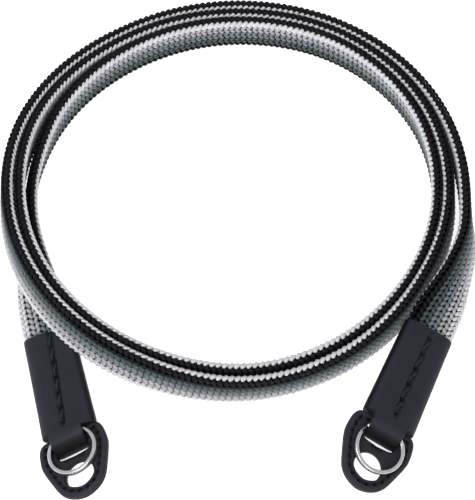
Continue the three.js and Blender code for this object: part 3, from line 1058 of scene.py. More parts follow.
@dataclass
class KnitBand:
    """The silk band: a slim core and ten rows of V stitches round it.

    Attributes:
        lay: The band's route.
        width: Width of the section on which the strands' middles lie, in millimetres.
        thickness: Thickness of that section, whose edges are full rounds.
        pitch: Length of a stitch.
        reach: How far along the band a leg runs from its row's edge to its middle.
        short: How far a leg stops short of its row's edge and middle. White ones on a crest don't.
        plump: Half width of a leg over the distance to the next, and that of a white one on a crest.
        half_depth: Half its thickness.
        blunt: Power that makes its ends blunt.
        stations: Where its rings lie, as shares of its length.
        arch: How far a leg's middle stands proud of the line between its ends.
        tail: Height over the section of the hind end of the upper leg of a row and of its lower leg.
        nose: Height of their front ends.
        crest: Height of the hind ends that meet along the band's edges: a black row's, a white row's.
        skew: How far the middle of the last row lies below its legs' even share.
        core_depth: How far the core lies below the section.
        core_step: Length from one of its rings to the next.
        core_sides: Points round the core.
        mouth_run: How far the stitches run into a sheath.
        uneven: Spread of the legs' starts, in stitches, of their girth and of their tone.
        fibre_range: Range from which a leg's part of the fibre pattern is drawn.
        sides: Points round a leg.
    """

    lay: Lay
    width: float = 14.4
    thickness: float = 2.35
    pitch: float = 1.98
    reach: float = 2.97
    short: float = 0.5
    plump: tuple[float, float] = (0.7, 0.77)
    half_depth: float = 0.48
    blunt: float = 2.4
    stations: tuple[float, ...] = (0.0, 0.04, 0.2, 0.5, 0.8, 0.96, 1.0)
    arch: float = 0.38
    tail: tuple[float, float] = (0.06, -0.2)
    nose: tuple[float, float] = (-0.26, -0.04)
    crest: tuple[float, float] = (-0.02, 0.26)
    skew: float = 0.45
    core_depth: float = 0.42
    core_step: float = 2.5
    core_sides: int = 28
    mouth_run: float = 4.0
    uneven: tuple[float, float, float] = (0.02, 0.04, 0.16)
    fibre_range: float = 40.0
    sides: int = 6

    def girth(self) -> float:
        """Length round the section."""
        return 2 * (self.width - self.thickness) + np.pi * self.thickness

    def section(self, round_it: np.ndarray, proud: np.ndarray) -> tuple[np.ndarray, np.ndarray]:
        """Point of the flat section with full-round edges, by how far round it lies.

        The way round starts at the top edge's crest, goes down the outer face, round the bottom edge
        and up the inner face. On an edge the point is on a circle; on a face it is on a straight line.

        Args:
            round_it: How far round, in millimetres.
            proud: How far out of the section.

        Returns:
            How far out of the outer face, and how far up, in millimetres.
        """
        radius, flat = self.thickness / 2, self.width - self.thickness
        quarter = np.pi * radius / 2
        where = np.mod(round_it, self.girth())
        turned = np.clip(where, 0, quarter) + np.clip(where - quarter - flat, 0, 2 * quarter)
        turned = turned + np.clip(where - 3 * quarter - 2 * flat, 0, quarter)
        down = np.clip(where - quarter, 0, flat) - np.clip(where - 3 * quarter - flat, 0, flat)
        angle = turned / radius
        outward = (radius + proud) * np.sin(angle)
        upward = (radius + proud) * np.cos(angle) + flat / 2 - down
        return outward, upward

    def wale(self, number: int, rng: np.random.Generator) -> Shell:
        """One row of V stitches.

        A leg runs straight forward and in from its row's edge to the row's middle, a stitch and a half
        further on, where it meets the other leg. Its height is an arch over the line between its ends,
        the sine of half a turn. Its girth is that of a blunt spindle: the root of one less a power of
        the distance from its middle.

        Args:
            number: The row's place round the band.
            rng: Source of the small differences between stitches.

        Returns:
            The row's shell.
        """
        low, high = self.girth() * ROW_EDGES[number:number + 2]
        half_row = (high - low) / 2
        first = self.lay.sheath_run - self.mouth_run
        count = int((self.lay.length() - 2 * first) / self.pitch)
        shape = (count, 2, 1, 1)
        uneven_start, uneven_girth, uneven_tone = self.uneven
        start = np.arange(count).reshape(-1, 1, 1, 1) + rng.normal(0, uneven_start, shape)
        start = first + self.pitch * start
        hand = np.array([-1.0, 1.0]).reshape(1, 2, 1, 1)
        t = np.reshape(self.stations, (1, 1, -1, 1))
        angle = around(self.sides).reshape(1, 1, 1, -1)
        size = np.hypot(self.reach, half_row)
        ahead, inward = self.reach / size, half_row / size
        black, white = (WALES[number] is yarn for yarn in (Yarn.BLACK, Yarn.WHITE))
        crest = np.array([black, white]).reshape(1, 2, 1, 1)
        bold = crest & white
        short = np.where(bold, 0, self.short)
        passed = short + (size - 2 * short) * t
        swell = np.sqrt(1 - np.abs(2 * t - 1) ** self.blunt)
        girth = np.where(bold, self.plump[1], self.plump[0]) * (1 + rng.normal(0, uneven_girth, shape))
        side = girth * self.pitch * inward * swell * np.cos(angle)
        along = start + ahead * (passed - size) + side * hand * inward
        across = hand * (half_row - inward * passed) + side * ahead
        heights = (self.tail, self.nose, self.crest)
        tail, nose, top = (np.reshape(pair, (1, 2, 1, 1)) for pair in heights)
        line = np.where(crest, top, tail) * (1 - t) + nose * t
        proud = line + self.arch * np.sin(np.pi * t) + self.half_depth * swell * np.sin(angle)
        full = np.broadcast_shapes(along.shape, across.shape, proud.shape)
        along, across, proud = (np.broadcast_to(a, full) for a in (along, across, proud))
        skew = self.skew if number == len(WALES) - 1 else 0.0
        round_it = (low + high) / 2 + across - skew * (1 - (across / half_row) ** 2)
        on_face = np.clip(np.sin(2 * np.pi * round_it / self.girth()), 0, 1) ** 2
        creep = np.interp(along, self.lay.reach, self.lay.creep)
        creep = creep - on_face * np.interp(along, self.lay.reach, self.lay.draw)
        outward, upward = self.section(round_it + creep, proud)
        grid = self.lay.place(along, outward, upward)
        tone = np.broadcast_to(np.clip(0.5 + rng.normal(0, uneven_tone, shape), 0, 1), full)
        drift = rng.uniform(0, self.fibre_range, shape)
        u = np.broadcast_to(passed + drift, full)
        v = np.broadcast_to(angle / (2 * np.pi) + drift, full)
        return self.spindles(grid, tone, np.stack([u, v], axis=-1))

    def spindles(self, grid: np.ndarray, tone: np.ndarray, uv: np.ndarray) -> Shell:
        """Many closed spindles from a grid of rings whose first and last have no girth.

        Args:
            grid: Points, stitches by 2 by rings by sides by 3.
            tone: Tone of each point.
            uv: Strand coordinates of each point.

        Returns:
            The shell of all of them.
        """
        legs = grid.shape[0] * 2
        grid = grid.reshape(legs, -1, self.sides, 3)
        rows = grid.shape[1]
        each = (rows - 2) * self.sides + 2
        index = np.arange(self.sides)
        following = (index + 1) % self.sides
        quads = ring_quads(rows - 2, self.sides)
        last = (rows - 3) * self.sides
        tail = np.stack([np.full(self.sides, each - 2), following, index], axis=1)
        head = np.stack([np.full(self.sides, each - 1), last + index, last + following], axis=1)
        tris = np.concatenate([tail, head])
        offset = (np.arange(legs) * each)[:, None, None]

        def packed(values: np.ndarray) -> np.ndarray:
            """Values in the order of the spindles' points: each one's body, then its two ends.

            Args:
                values: Values of every point of the grid.

            Returns:
                The values, spindles by points by numbers.
            """
            values = values.reshape(legs, rows, self.sides, -1)
            body = values[:, 1:-1].reshape(legs, -1, values.shape[-1])
            return np.concatenate([body, values[:, 0, :1], values[:, -1, :1]], axis=1)

        return Shell(
            points=packed(grid).reshape(-1, 3),
            quads=(quads + offset).reshape(-1, 4),
            tris=(tris + offset).reshape(-1, 3),
            uv=packed(uv).reshape(-1, 2),
            tone=packed(tone).reshape(-1),
        )

    def core(self) -> Shell:
        """The slim core under the stitches: the section, a little smaller, carried along the lay.

        Returns:
            The core's shell.
        """
        length = self.lay.length()
        along = np.linspace(0, length, int(length / self.core_step))[:, None]
        round_it = np.linspace(0, self.girth(), self.core_sides, endpoint=False)[None]
        outward, upward = self.section(round_it, np.full_like(round_it, -self.core_depth))
        along, outward, upward = np.broadcast_arrays(along, outward, upward)
        rings = self.lay.place(along, outward, upward)
        share = 2 * np.broadcast_to(round_it, along.shape) / self.girth()
        return loft(rings, uv=np.stack([along / self.pitch, share], axis=-1))

    def build(self) -> None:
        """Builds the core and the rows of stitches, one piece a silk."""
        rng = np.random.default_rng(SEED)
        dress(self.core(), "band_core", InnerSilk(), ["silk_band"])
        for number, yarn in enumerate(FACE):
            rows = [self.wale(number + turn * len(FACE), rng) for turn in (0, 1)]
            name = "knit_" + yarn.name.lower()
            dress(Shell.joined(rows), name, SILKS[yarn], ["silk_band"])


# ---- The leather ends -----------------------------------------------------------------------------


@dataclass
class Sheath:
    """Leather sheath with its butt seam, its tongue and the seam's thread.

    Attributes:
        end: Which end, and where it sits.
        wall: Thickness of the leather, in millimetres.
        pocket: Depth of the open mouth that is modelled.
        power: Squareness of the flat-oval section.
        pocket_power: Squareness of the pocket.
        tongue_half: Half width of the tongue.
        tongue_power: Squareness of its section.
        tongue_steps: Rings of the tongue.
        seam_end: Where the last hole of the butt seam lies.
        seam_depth: Depth of the groove under the stitches, and what a hole adds to it.
        seam_half: Half its width.
        line: Half width and depth of the fine line before the first hole.
        pull: Half width and depth of the dip where the stitches draw the leather in.
        hole_half: Half the length of a hole.
        fairing: Times that the upper face is faired where the sheath meets the tongue.
        stitch_inset: Distance from a hole's middle to a stitch's end.
        stitch_swing: How far across the seam a stitch starts and ends.
        stitch_low: How deep under the face its ends lie.
        stitch_rise: How far its middle rises above them.
        ply_offset: Distance of a ply's middle from the stitch's.
        ply_radius: Radius of a ply.
    """

    end: End
    wall: float = 1.1
    pocket: float = 9.0
    power: float = 3.2
    pocket_power: float = 4.0
    tongue_half: float = 5.5
    tongue_power: float = 6.0
    tongue_steps: int = 34
    seam_end: float = 31.7
    seam_depth: tuple[float, float] = (0.45, 0.8)
    seam_half: float = 0.85
    line: tuple[float, float] = (0.22, 0.25)
    pull: tuple[float, float] = (1.9, 0.12)
    hole_half: float = 0.92
    fairing: int = 24
    stitch_inset: float = 0.45
    stitch_swing: float = 0.5
    stitch_low: float = 1.1
    stitch_rise: float = 0.9
    ply_offset: float = 0.25
    ply_radius: float = 0.31

    def columns(self) -> tuple[np.ndarray, np.ndarray, np.ndarray, np.ndarray]:
        """The ring's columns.

        A column on the upper or lower face is fixed by its share across, and its share up follows. One
        on a side is fixed by its share up. Columns crowd together at the seam and round the corners.

        Returns:
            Share across, share up, whether the column is on a face, and its sign of height.
        """
        crowd = np.array([0, 0.03, 0.06, 0.1, 0.15, 0.24, 0.36, 0.48, 0.6, 0.7, 0.79, 0.87, 0.94, 0.99])
        top = np.concatenate([crowd[:0:-1], -crowd])
        bottom = np.linspace(-0.99, 0.99, 17)
        flank = np.linspace(0.93, -0.93, 7)
        across = np.concatenate([top, -np.ones_like(flank), bottom, np.ones_like(flank)])
        up = np.concatenate([np.ones_like(top), flank, -np.ones_like(bottom), flank[::-1]])
        return across, up, np.abs(up) == 1, np.sign(up)

    def seam_line(self, along: np.ndarray) -> np.ndarray:
        """How far across the sheath its seam lies, by how far along."""
        return np.interp(along, (0, self.seam_end), self.end.seam_across)

    def ring(
        self, half: np.ndarray, above: np.ndarray, below: np.ndarray, power: float, shift: np.ndarray
    ) -> np.ndarray:
        """Flat-oval rings: the powers of the two shares add up to one.

        Args:
            half: Half width of each ring, in millimetres.
            above: Its height above the middle plane.
            below: Its depth below it.
            power: Squareness.
            shift: How far the middle columns of the upper face move across, to lie on the seam.

        Returns:
            Across and up of each point, rings by columns by 2.
        """
        across, up, on_face, side = self.columns()
        corner = 2.0 ** (-1.0 / power)
        moved = (shift / half)[:, None] * (1 - across**2) * (on_face & (side > 0))
        share_across = np.where(on_face, across * corner + moved, np.sign(across))
        share_up = np.where(on_face, np.sign(up), up * corner)
        rest_up = (1 - np.abs(np.where(on_face, share_across, 0)) ** power) ** (1 / power)
        rest_across = (1 - np.abs(np.where(on_face, 0, share_up)) ** power) ** (1 / power)
        share_across = np.where(on_face, share_across, share_across * rest_across)
        share_up = np.where(on_face, share_up * rest_up, share_up)
        height = np.where(share_up > 0, above[:, None], below[:, None])
        return np.stack([half[:, None] * share_across, height * share_up], axis=-1)

    @staticmethod
    def stood(along: np.ndarray, rings: np.ndarray) -> np.ndarray:
        """Flat rings stood up at their places along the sheath: along, across and up of each point."""
        along = np.broadcast_to(along[:, None, None], (*rings.shape[:2], 1))
        return np.concatenate([along, rings], axis=2)

    def seam(self, rings: np.ndarray) -> tuple[np.ndarray, np.ndarray]:
        """Sinks the butt seam into the upper face.

        Under the stitches the groove is flat-bottomed across, and each hole deepens it; before the
        first hole it is a fine line. Beside the holes the leather is drawn in a little.

        Args:
            rings: Points in the sheath's millimetres, rings by columns by 3.

        Returns:
            The points, and how much painted shade each gets in the groove, its holes and the fine line,
            from 0 to 1.
        """
        along, across = rings[..., 0], rings[..., 1] - self.seam_line(rings[..., 0])
        first, pitch = self.end.seam_first, self.end.seam_pitch
        upper = rings[..., 2] > 0
        ended = smooth(along, self.seam_end + 0.2, self.seam_end + 0.8)
        stitched = smooth(along, first - 0.9, first - 0.3) * (1 - ended)
        channel = bell(across, self.seam_half, 4) * stitched * upper
        line = bell(across, self.line[0]) * (along < first) * upper
        off_hole = along - first - pitch * np.round((along - first) / pitch) - 0.5 * across
        hole = channel * bell(off_hole, self.hole_half, 4)
        pull = bell(across, self.pull[0]) * stitched * upper
        draw = 0.5 + 0.5 * np.cos(2 * np.pi * (along - first) / pitch)
        depth, deeper = self.seam_depth
        sunk = rings.copy()
        sunk[..., 2] -= depth * channel + deeper * hole
        sunk[..., 2] -= self.line[1] * line + self.pull[1] * pull * draw
        # The second value is painted shade: darkest in the holes, dark along the groove and the fine
        # line.
        return sunk, np.maximum(0.7 * channel + 0.3 * hole, 0.7 * line)

    def tube_rings(self) -> tuple[np.ndarray, np.ndarray]:
        """Rings of the sheath from the pocket's floor out to the mouth and on to the shoulder.

        Returns:
            Points in the frame's millimetres, and the tone of each.
        """
        lip, lip_drawn_in = np.array([-0.02, 0.06]), self.wall * np.array([0.62, 0.2])
        body = np.concatenate([[0.28, 0.7, 1.1], np.arange(1.5, 33.8, 0.38), [34.0, 34.4]])
        sized_at = np.concatenate([0 * lip, body])
        sizes = between(SHEATH_ROWS, sized_at).T
        drawn_in = np.concatenate([lip_drawn_in, 0 * body])
        outside = self.ring(*(sizes - drawn_in), self.power, self.seam_line(sized_at))
        outside = self.stood(np.concatenate([lip, body]), outside)
        inner = np.array([self.pocket, self.pocket - 0.4, 5.0, 2.0, 0.5, 0.1])
        wall = self.wall * np.array([1, 1, 1, 1, 1, 0.9])
        room = between(SHEATH_ROWS, inner).T - wall
        pocket = self.ring(*room, self.pocket_power, self.seam_line(0 * inner))
        pocket = self.stood(inner, pocket)
        outside, groove = self.seam(outside)
        along = outside[..., 0]
        share = outside[..., 1] / sizes[0][:, None]
        # Tone of the outside: a little paler in a band inside the edges, from wear and painted
        # highlight; painted shade on the side walls, deepest on the side that faces the other end, and
        # in the seam's groove and holes; a little paler at the mouth.
        edge = np.abs(share)
        wear_and_light = 0.5 + 0.12 * smooth(edge, 0.55, 0.8) - 0.3 * smooth(edge, 0.9, 1.0)
        wear_and_light = wear_and_light - 0.4 * smooth(share * self.end.inner, 0.84, 0.95)
        wear_and_light = wear_and_light - 0.5 * groove + 0.1 * (1 - smooth(along, 0.0, 1.5))
        outside[..., 0] -= self.end.slant * self.end.inner * share * smooth(along, 28, 34)
        # Painted shade inside the pocket.
        tone = np.concatenate([np.full(pocket.shape[:2], 0.18), wear_and_light])
        return self.end.mouth.place(np.concatenate([pocket, outside])), tone

    def tongue_rings(self) -> tuple[np.ndarray, np.ndarray]:
        """Rings of the tongue: its flat section carried along its path through the slot.

        Returns:
            Points in the frame's millimetres, and the tone of each.
        """
        path = along_path(TONGUE_PATH, self.tongue_steps)
        ahead = unit(np.gradient(path[:, :2], axis=0))
        half = np.full(len(path), self.tongue_half) - 0.15 * smooth(np.arange(len(path)), 8, 16)
        section = self.ring(half, path[:, 2], path[:, 2], self.tongue_power, 0 * half)
        normal = np.stack([-ahead[:, 1], ahead[:, 0]], axis=1)
        x = path[:, None, 0] + normal[:, None, 0] * section[..., 1]
        z = path[:, None, 1] + normal[:, None, 1] * section[..., 1]
        local = np.stack([x, section[..., 0], z], axis=-1)
        # Painted light in the tone: a painted highlight along the crest where the tongue bends over the
        # ring, painted shade below it down into the slot and underneath, and more painted shade along
        # its sides.
        crest = 0.46 * smooth(-path[:, 0], 3.0, 5.0) + 0.5 * bell(path[:, 0] + 5.3, 0.8)
        crest = (crest * (path[:, 1] > 2))[:, None] * np.ones(local.shape[1])
        tone = 0.04 + crest
        tone = tone - 0.12 * smooth(np.abs(local[..., 1]) / self.tongue_half, 0.85, 1.0)
        return self.end.slot.place(local), tone

    def leather(self) -> Shell:
        """The whole leather piece: sheath, shoulder and tongue in one closed surface.

        Between the last ring of the sheath and the first of the tongue, a few rings lie on the straight
        lines between their points, so the sides step in and the under side closes up to the tongue. The
        upper face is then faired: again and again each point moves halfway to the middle of its two
        neighbours along the leather.

        Returns:
            The leather's shell.
        """
        body, body_tone = self.tube_rings()
        tongue, tongue_tone = self.tongue_rings()
        share = np.array([0.12, 0.35, 0.65, 0.9])[:, None, None]
        step = body[-1] * (1 - share) + tongue[0] * share
        across, _, on_face, side = self.columns()
        upper = smooth(1 - np.abs(across), 0.0, 0.12) * on_face * (side > 0)
        # The step's upper face takes its tone between sheath and tongue; its sides and under side get
        # painted shade, the dark notch where the ring passes under.
        step_tone = body_tone[-1] * (1 - share[..., 0]) + tongue_tone[0] * share[..., 0]
        step_tone = step_tone * upper + 0.08 * (1 - upper)
        rings = np.concatenate([body, step, tongue])
        tone = np.concatenate([body_tone, step_tone, tongue_tone])
        faired = slice(len(body) - 9, len(body) + 10)
        for _ in range(self.fairing):
            for values in (rings, tone):
                run = values[faired]
                share = upper.reshape((1, -1) + (1,) * (run.ndim - 2))
                run[1:-1] += 0.5 * share * ((run[:-2] + run[2:]) / 2 - run[1:-1])
        return loft(MM * rings, tone=tone)

    def thread(self) -> Shell:
        """The seam's thread: long slanting stitches across the seam, each of two plies laid together.

        A stitch swings from one side to the other as the cosine of half a turn and rises out of its
        holes as a root of the sine; its plies turn round its middle line one and a half times.

        Returns:
            The thread's shell.
        """
        strands = []
        t = np.linspace(0, 1, 26)
        first, pitch = self.end.seam_first, self.end.seam_pitch
        for k in range(int(round((self.seam_end - first) / pitch))):
            along = first + pitch * k + self.stitch_inset + (pitch - 2 * self.stitch_inset) * t
            surface = between(SHEATH_ROWS, along)[:, 1]
            across = self.seam_line(along) + self.stitch_swing * np.cos(np.pi * t)
            height = surface - self.stitch_low + self.stitch_rise * np.sin(np.pi * t) ** 0.5
            middle = np.stack([along, across, height], axis=1)
            for turn in (0.0, np.pi):
                twist = turn + 3 * np.pi * t
                off_middle = np.stack([0 * t, np.cos(twist), np.sin(twist)], axis=1)
                strands.append(self.ply(middle + self.ply_offset * off_middle))
        return Shell.joined(strands)

    def ply(self, path: np.ndarray) -> Shell:
        """A ply of a stitch along a path, its ends drawn in.

        Args:
            path: Points in the sheath's millimetres, n by 3.

        Returns:
            The ply's shell.
        """
        s = np.linspace(0, 1, len(path))
        girth = self.ply_radius * (0.55 + 0.45 * np.sin(np.pi * s) ** 0.5)
        along = np.concatenate([[0], np.cumsum(np.linalg.norm(np.diff(path, axis=0), axis=1))])
        return self.end.mouth.strand(path, girth, girth, 8, along)

    def build(self) -> None:
        """Builds the leather and its thread."""
        name = self.end.side.value
        dress(self.leather(), name + "_sheath", Calf(), [name + "_leather_sheath"])
        dress(self.thread(), name + "_seam_thread", WaxedThread(), [])


@dataclass
class Protector:
    """Stitched leather lug protector: a shield of two layers with a slot and a round hole.

    Attributes:
        end: Which end, and where it sits.
        thickness: Thickness of the two layers together, in millimetres.
        hole_centre: Middle of the round hole, towards the tip from the slot's middle.
        hole_radius: Its radius.
        slot_back: Back edge of the slot.
        slot_length: Its length across.
        slot_power: Squareness of its corners.
        inset: How far the stitching lies inside the edge.
        insets: Columns of the plate's faces, by how far each lies inside the edge.
        stitch_pitch: Length from one hole of the stitching to the next.
        stitch_span: Where a stitch begins and ends, as shares of the way from hole to hole.
        stitch_low: How deep its ends lie under the face.
        stitch_rise: How far its middle rises above them.
        stitch_half: Half its width.
        pit_half: Half the length and half the width of a hole.
        pit_depth: Its depth.
        rim: Radius of the rounded edge.
        outline_points: Points that the outline is worked out by.
        line_points: Points that the line of the stitching is worked out by.
        spokes: Sections of the plate round its hole.
    """

    end: End
    thickness: float = 2.3
    hole_centre: float = 7.1
    hole_radius: float = 4.65
    slot_back: float = -3.2
    slot_length: float = 10.7
    slot_power: float = 8.0
    inset: float = 2.2
    insets: tuple[float, ...] = (
        0.0, 0.06, 0.2, 0.42, 0.75, 1.15, 1.45, 1.65, 1.85, 2.03, 2.2, 2.37, 2.55, 2.75, 2.95, 3.4
    )
    stitch_pitch: float = 2.75
    stitch_span: tuple[float, float] = (0.16, 0.84)
    stitch_low: float = 0.62
    stitch_rise: float = 0.36
    stitch_half: float = 0.27
    pit_half: tuple[float, float] = (0.62, 0.42)
    pit_depth: float = 0.6
    rim: float = 0.75
    outline_points: int = 900
    line_points: int = 720
    spokes: int = 360

    def outline(self, count: int) -> np.ndarray:
        """The outline as evenly spaced points, counterclockwise from above.

        Args:
            count: Number of points.

        Returns:
            Points, count by 2.
        """
        right = PROTECTOR_ROWS * (1, -1)
        left = PROTECTOR_ROWS[::-1]
        return along_path(np.concatenate([right, left]), count, closed=True)

    def edge_reach(self, angle: np.ndarray, edge: np.ndarray) -> np.ndarray:
        """Distance from the hole's middle to a closed line round it.

        Args:
            angle: Bearings, in radians.
            edge: Points of the line, n by 2.

        Returns:
            The distance on each bearing.
        """
        from_middle = edge - (self.hole_centre, 0)
        bearing = np.arctan2(from_middle[:, 1], from_middle[:, 0])
        return np.interp(angle, bearing, np.hypot(*from_middle.T), period=2 * np.pi)

    def inside_edge(self, inset: float, count: int) -> np.ndarray:
        """A closed line inside the outline.

        Args:
            inset: Its distance from the outline.
            count: Number of points.

        Returns:
            Evenly spaced points, count by 2.
        """
        edge = self.outline(self.outline_points)
        ahead = unit(np.roll(edge, -6, axis=0) - np.roll(edge, 6, axis=0))
        inner = edge + inset * np.stack([-ahead[:, 1], ahead[:, 0]], axis=1)
        near = np.linalg.norm(inner[:, None] - edge[None], axis=2).min(axis=1)
        return along_path(inner[near > 0.985 * inset][::6], count, closed=True)

    def holes(self) -> tuple[np.ndarray, np.ndarray]:
        """The holes of the stitching.

        Returns:
            Where each lies, and which way the line of stitching runs there, each n by 2.
        """
        count = self.line_points
        line = self.inside_edge(self.inset, count)
        length = np.linalg.norm(np.roll(line, -1, axis=0) - line, axis=1).sum()
        at = np.arange(0, count, count / round(length / self.stitch_pitch)).astype(int)
        return line[at], unit(line[(at + 4) % count] - line[(at - 4) % count])

    def surface(self, angle: np.ndarray) -> tuple[np.ndarray, np.ndarray]:
        """Sections of the plate about the round hole, from its wall over the top to the edge and back.

        The height of a section is half the thickness, rounded at the edge by a quarter circle, less a
        bell-shaped channel under the stitching, plus a slight crown outside it. The outer wall has a
        fine groove where the two layers meet. The holes of the stitching are bells too, longer along
        their slant than across it.

        Args:
            angle: Bearings of the sections.

        Returns:
            Points in the protector's millimetres, bearings by columns by 3, and the tone of each.
        """
        reach = self.edge_reach(angle, self.outline(self.outline_points))
        insets = np.array(self.insets)
        lines = [reach] + [self.edge_reach(angle, self.inside_edge(d, 400)) for d in insets[1:]]
        hole = self.hole_radius + np.array([0.0, 0.08, 0.28, 0.6])
        room = lines[-1] - hole[-1]
        middle = [hole[-1] + room * s for s in (0.3, 0.65)]
        radii = np.stack([np.full_like(reach, r) for r in hole] + middle + lines[::-1], axis=1)
        half = self.thickness / 2
        rounded = self.rim - np.sqrt(self.rim**2 - np.clip(self.rim - insets, 0, None) ** 2)
        channel = 0.16 * bell(insets - self.inset, 0.42)
        crown = 0.1 * bell(insets - 1.2, 0.5)
        face = half - rounded - channel + crown
        bore = half - np.array([0.45, 0.25, 0.08, 0.0])
        top = np.concatenate([bore, [half + 0.02, half + 0.02], face[::-1]])
        wall = np.array([0.16, 0.05, -0.05, -0.16])
        wall_radii = reach[:, None] - np.array([0.0, 0.16, 0.16, 0.0])
        bore_wall = np.array([-0.3, 0.0, 0.3])
        heights = np.concatenate([top, wall, -top[::-1], bore_wall])
        bore_radii = np.full((len(angle), len(bore_wall)), self.hole_radius)
        all_radii = np.concatenate([radii, wall_radii, radii[:, ::-1], bore_radii], axis=1)
        x = self.hole_centre + all_radii * np.cos(angle)[:, None]
        y = all_radii * np.sin(angle)[:, None]
        pit = np.zeros_like(x)
        for point, way in zip(*self.holes()):
            slant = way + 0.5 * np.array([-way[1], way[0]])
            slant = slant / np.hypot(*slant)
            dx, dy = x - point[0], y - point[1]
            on, off = dx * slant[0] + dy * slant[1], dy * slant[0] - dx * slant[1]
            pit = np.maximum(pit, bell(on, self.pit_half[0], 4) * bell(off, self.pit_half[1], 4))
        z = heights - self.pit_depth * pit * np.sign(heights) * (np.abs(heights) > 0.7)
        # Tone: a paler band near the rim, from wear and painted highlight; painted shade in the stitch
        # channel, round the hole's mouth and down its bore, and in the stitch holes. The outer wall is
        # darker at the groove where the two layers meet.
        rim_tone = 0.52 + 0.2 * bell(insets - 0.8, 0.6) - 0.2 * bell(insets - self.inset, 0.4)
        top_tone = np.concatenate([[0.1, 0.25, 0.45, 0.5], [0.5, 0.5], rim_tone[::-1]])
        tone = np.concatenate([top_tone, [0.4, 0.15, 0.15, 0.4], top_tone[::-1], [0.08, 0.08, 0.08]])
        return np.stack([x, y, z], axis=-1), tone - 0.9 * pit

    def plate(self) -> Shell:
        """The plate as one closed surface round its hole.

        Returns:
            The plate's shell.
        """
        rings, tone = self.surface(around(self.spokes))
        placed = MM * self.end.slot.place(rings)
        return Shell(
            points=placed.reshape(-1, 3),
            quads=ring_quads(*rings.shape[:2], closed_rows=True)[:, ::-1],
            tone=tone.reshape(-1),
        )

    def slot_cutter(self) -> Shell:
        """Block that cuts the slot: a squarish ring of 32 points carried through the plate.

        Returns:
            The block's shell.
        """
        x, y = squarish(32, 2 / self.slot_power).T
        front = self.end.slot_front
        x = (front + self.slot_back) / 2 + x * (front - self.slot_back) / 2
        x = x - self.end.slot_bow * y**2 * (x > -1.5)
        y = y * self.slot_length / 2
        heights = np.array([-3.0, 3.0])[:, None]
        x, y, heights = np.broadcast_arrays(x, y, heights)
        return loft(MM * self.end.slot.place(np.stack([x, y, heights], axis=-1)))

    def thread(self) -> Shell:
        """The stitching: a low strand from each hole to the next, on both faces.

        Each strand is an arch: its height is a root of the sine of half a turn.

        Returns:
            The stitching's shell.
        """
        here, _ = self.holes()
        after = np.roll(here, -1, axis=0)
        covered = (here[:, 0] < -4.2) & (np.abs(here[:, 1]) < 7.0)
        strands = []
        for face in (1.0, -1.0):
            strands += [self.stitch(a, b, face) for a, b in zip(here[~covered], after[~covered])]
        return Shell.joined(strands)

    def stitch(self, start: np.ndarray, stop: np.ndarray, face: float) -> Shell:
        """One stitch.

        Args:
            start: Its first hole, towards the tip and across.
            stop: Its second hole.
            face: 1 for the upper face, -1 for the lower one.

        Returns:
            The stitch's shell.
        """
        t = np.linspace(*self.stitch_span, 11)
        arch = np.sin(np.pi * t) ** 0.5
        flat = start + t[:, None] * (stop - start)
        height = face * (self.thickness / 2 - self.stitch_low + self.stitch_rise * arch)
        path = np.concatenate([flat, height[:, None]], axis=1)
        girth = self.stitch_half * (0.6 + 0.4 * arch)
        return self.end.slot.strand(path, girth, girth * 0.9, 7, self.stitch_pitch * t)

    def build(self) -> None:
        """Builds the plate, cuts its slot and adds its stitching."""
        name = self.end.side.value
        plate = dress(self.plate(), name + "_protector", Calf(), [name + "_lug_protector"])
        cutter = self.slot_cutter().to_object(name + "_slot_cutter")
        cut = plate.modifiers.new("slot", "BOOLEAN")
        cut.operation = "DIFFERENCE"
        cut.solver = "EXACT"
        cut.object = cutter
        evaluated = plate.evaluated_get(bpy.context.evaluated_depsgraph_get())
        made = bpy.data.meshes.new_from_object(evaluated)
        plate.modifiers.clear()
        plate.data = made
        bpy.data.objects.remove(cutter)
        finish = WaxedThread("black_thread", (0.005, 0.005, 0.006), (0.015, 0.015, 0.018), gloss=0.15)
        dress(self.thread(), name + "_protector_thread", finish, [])


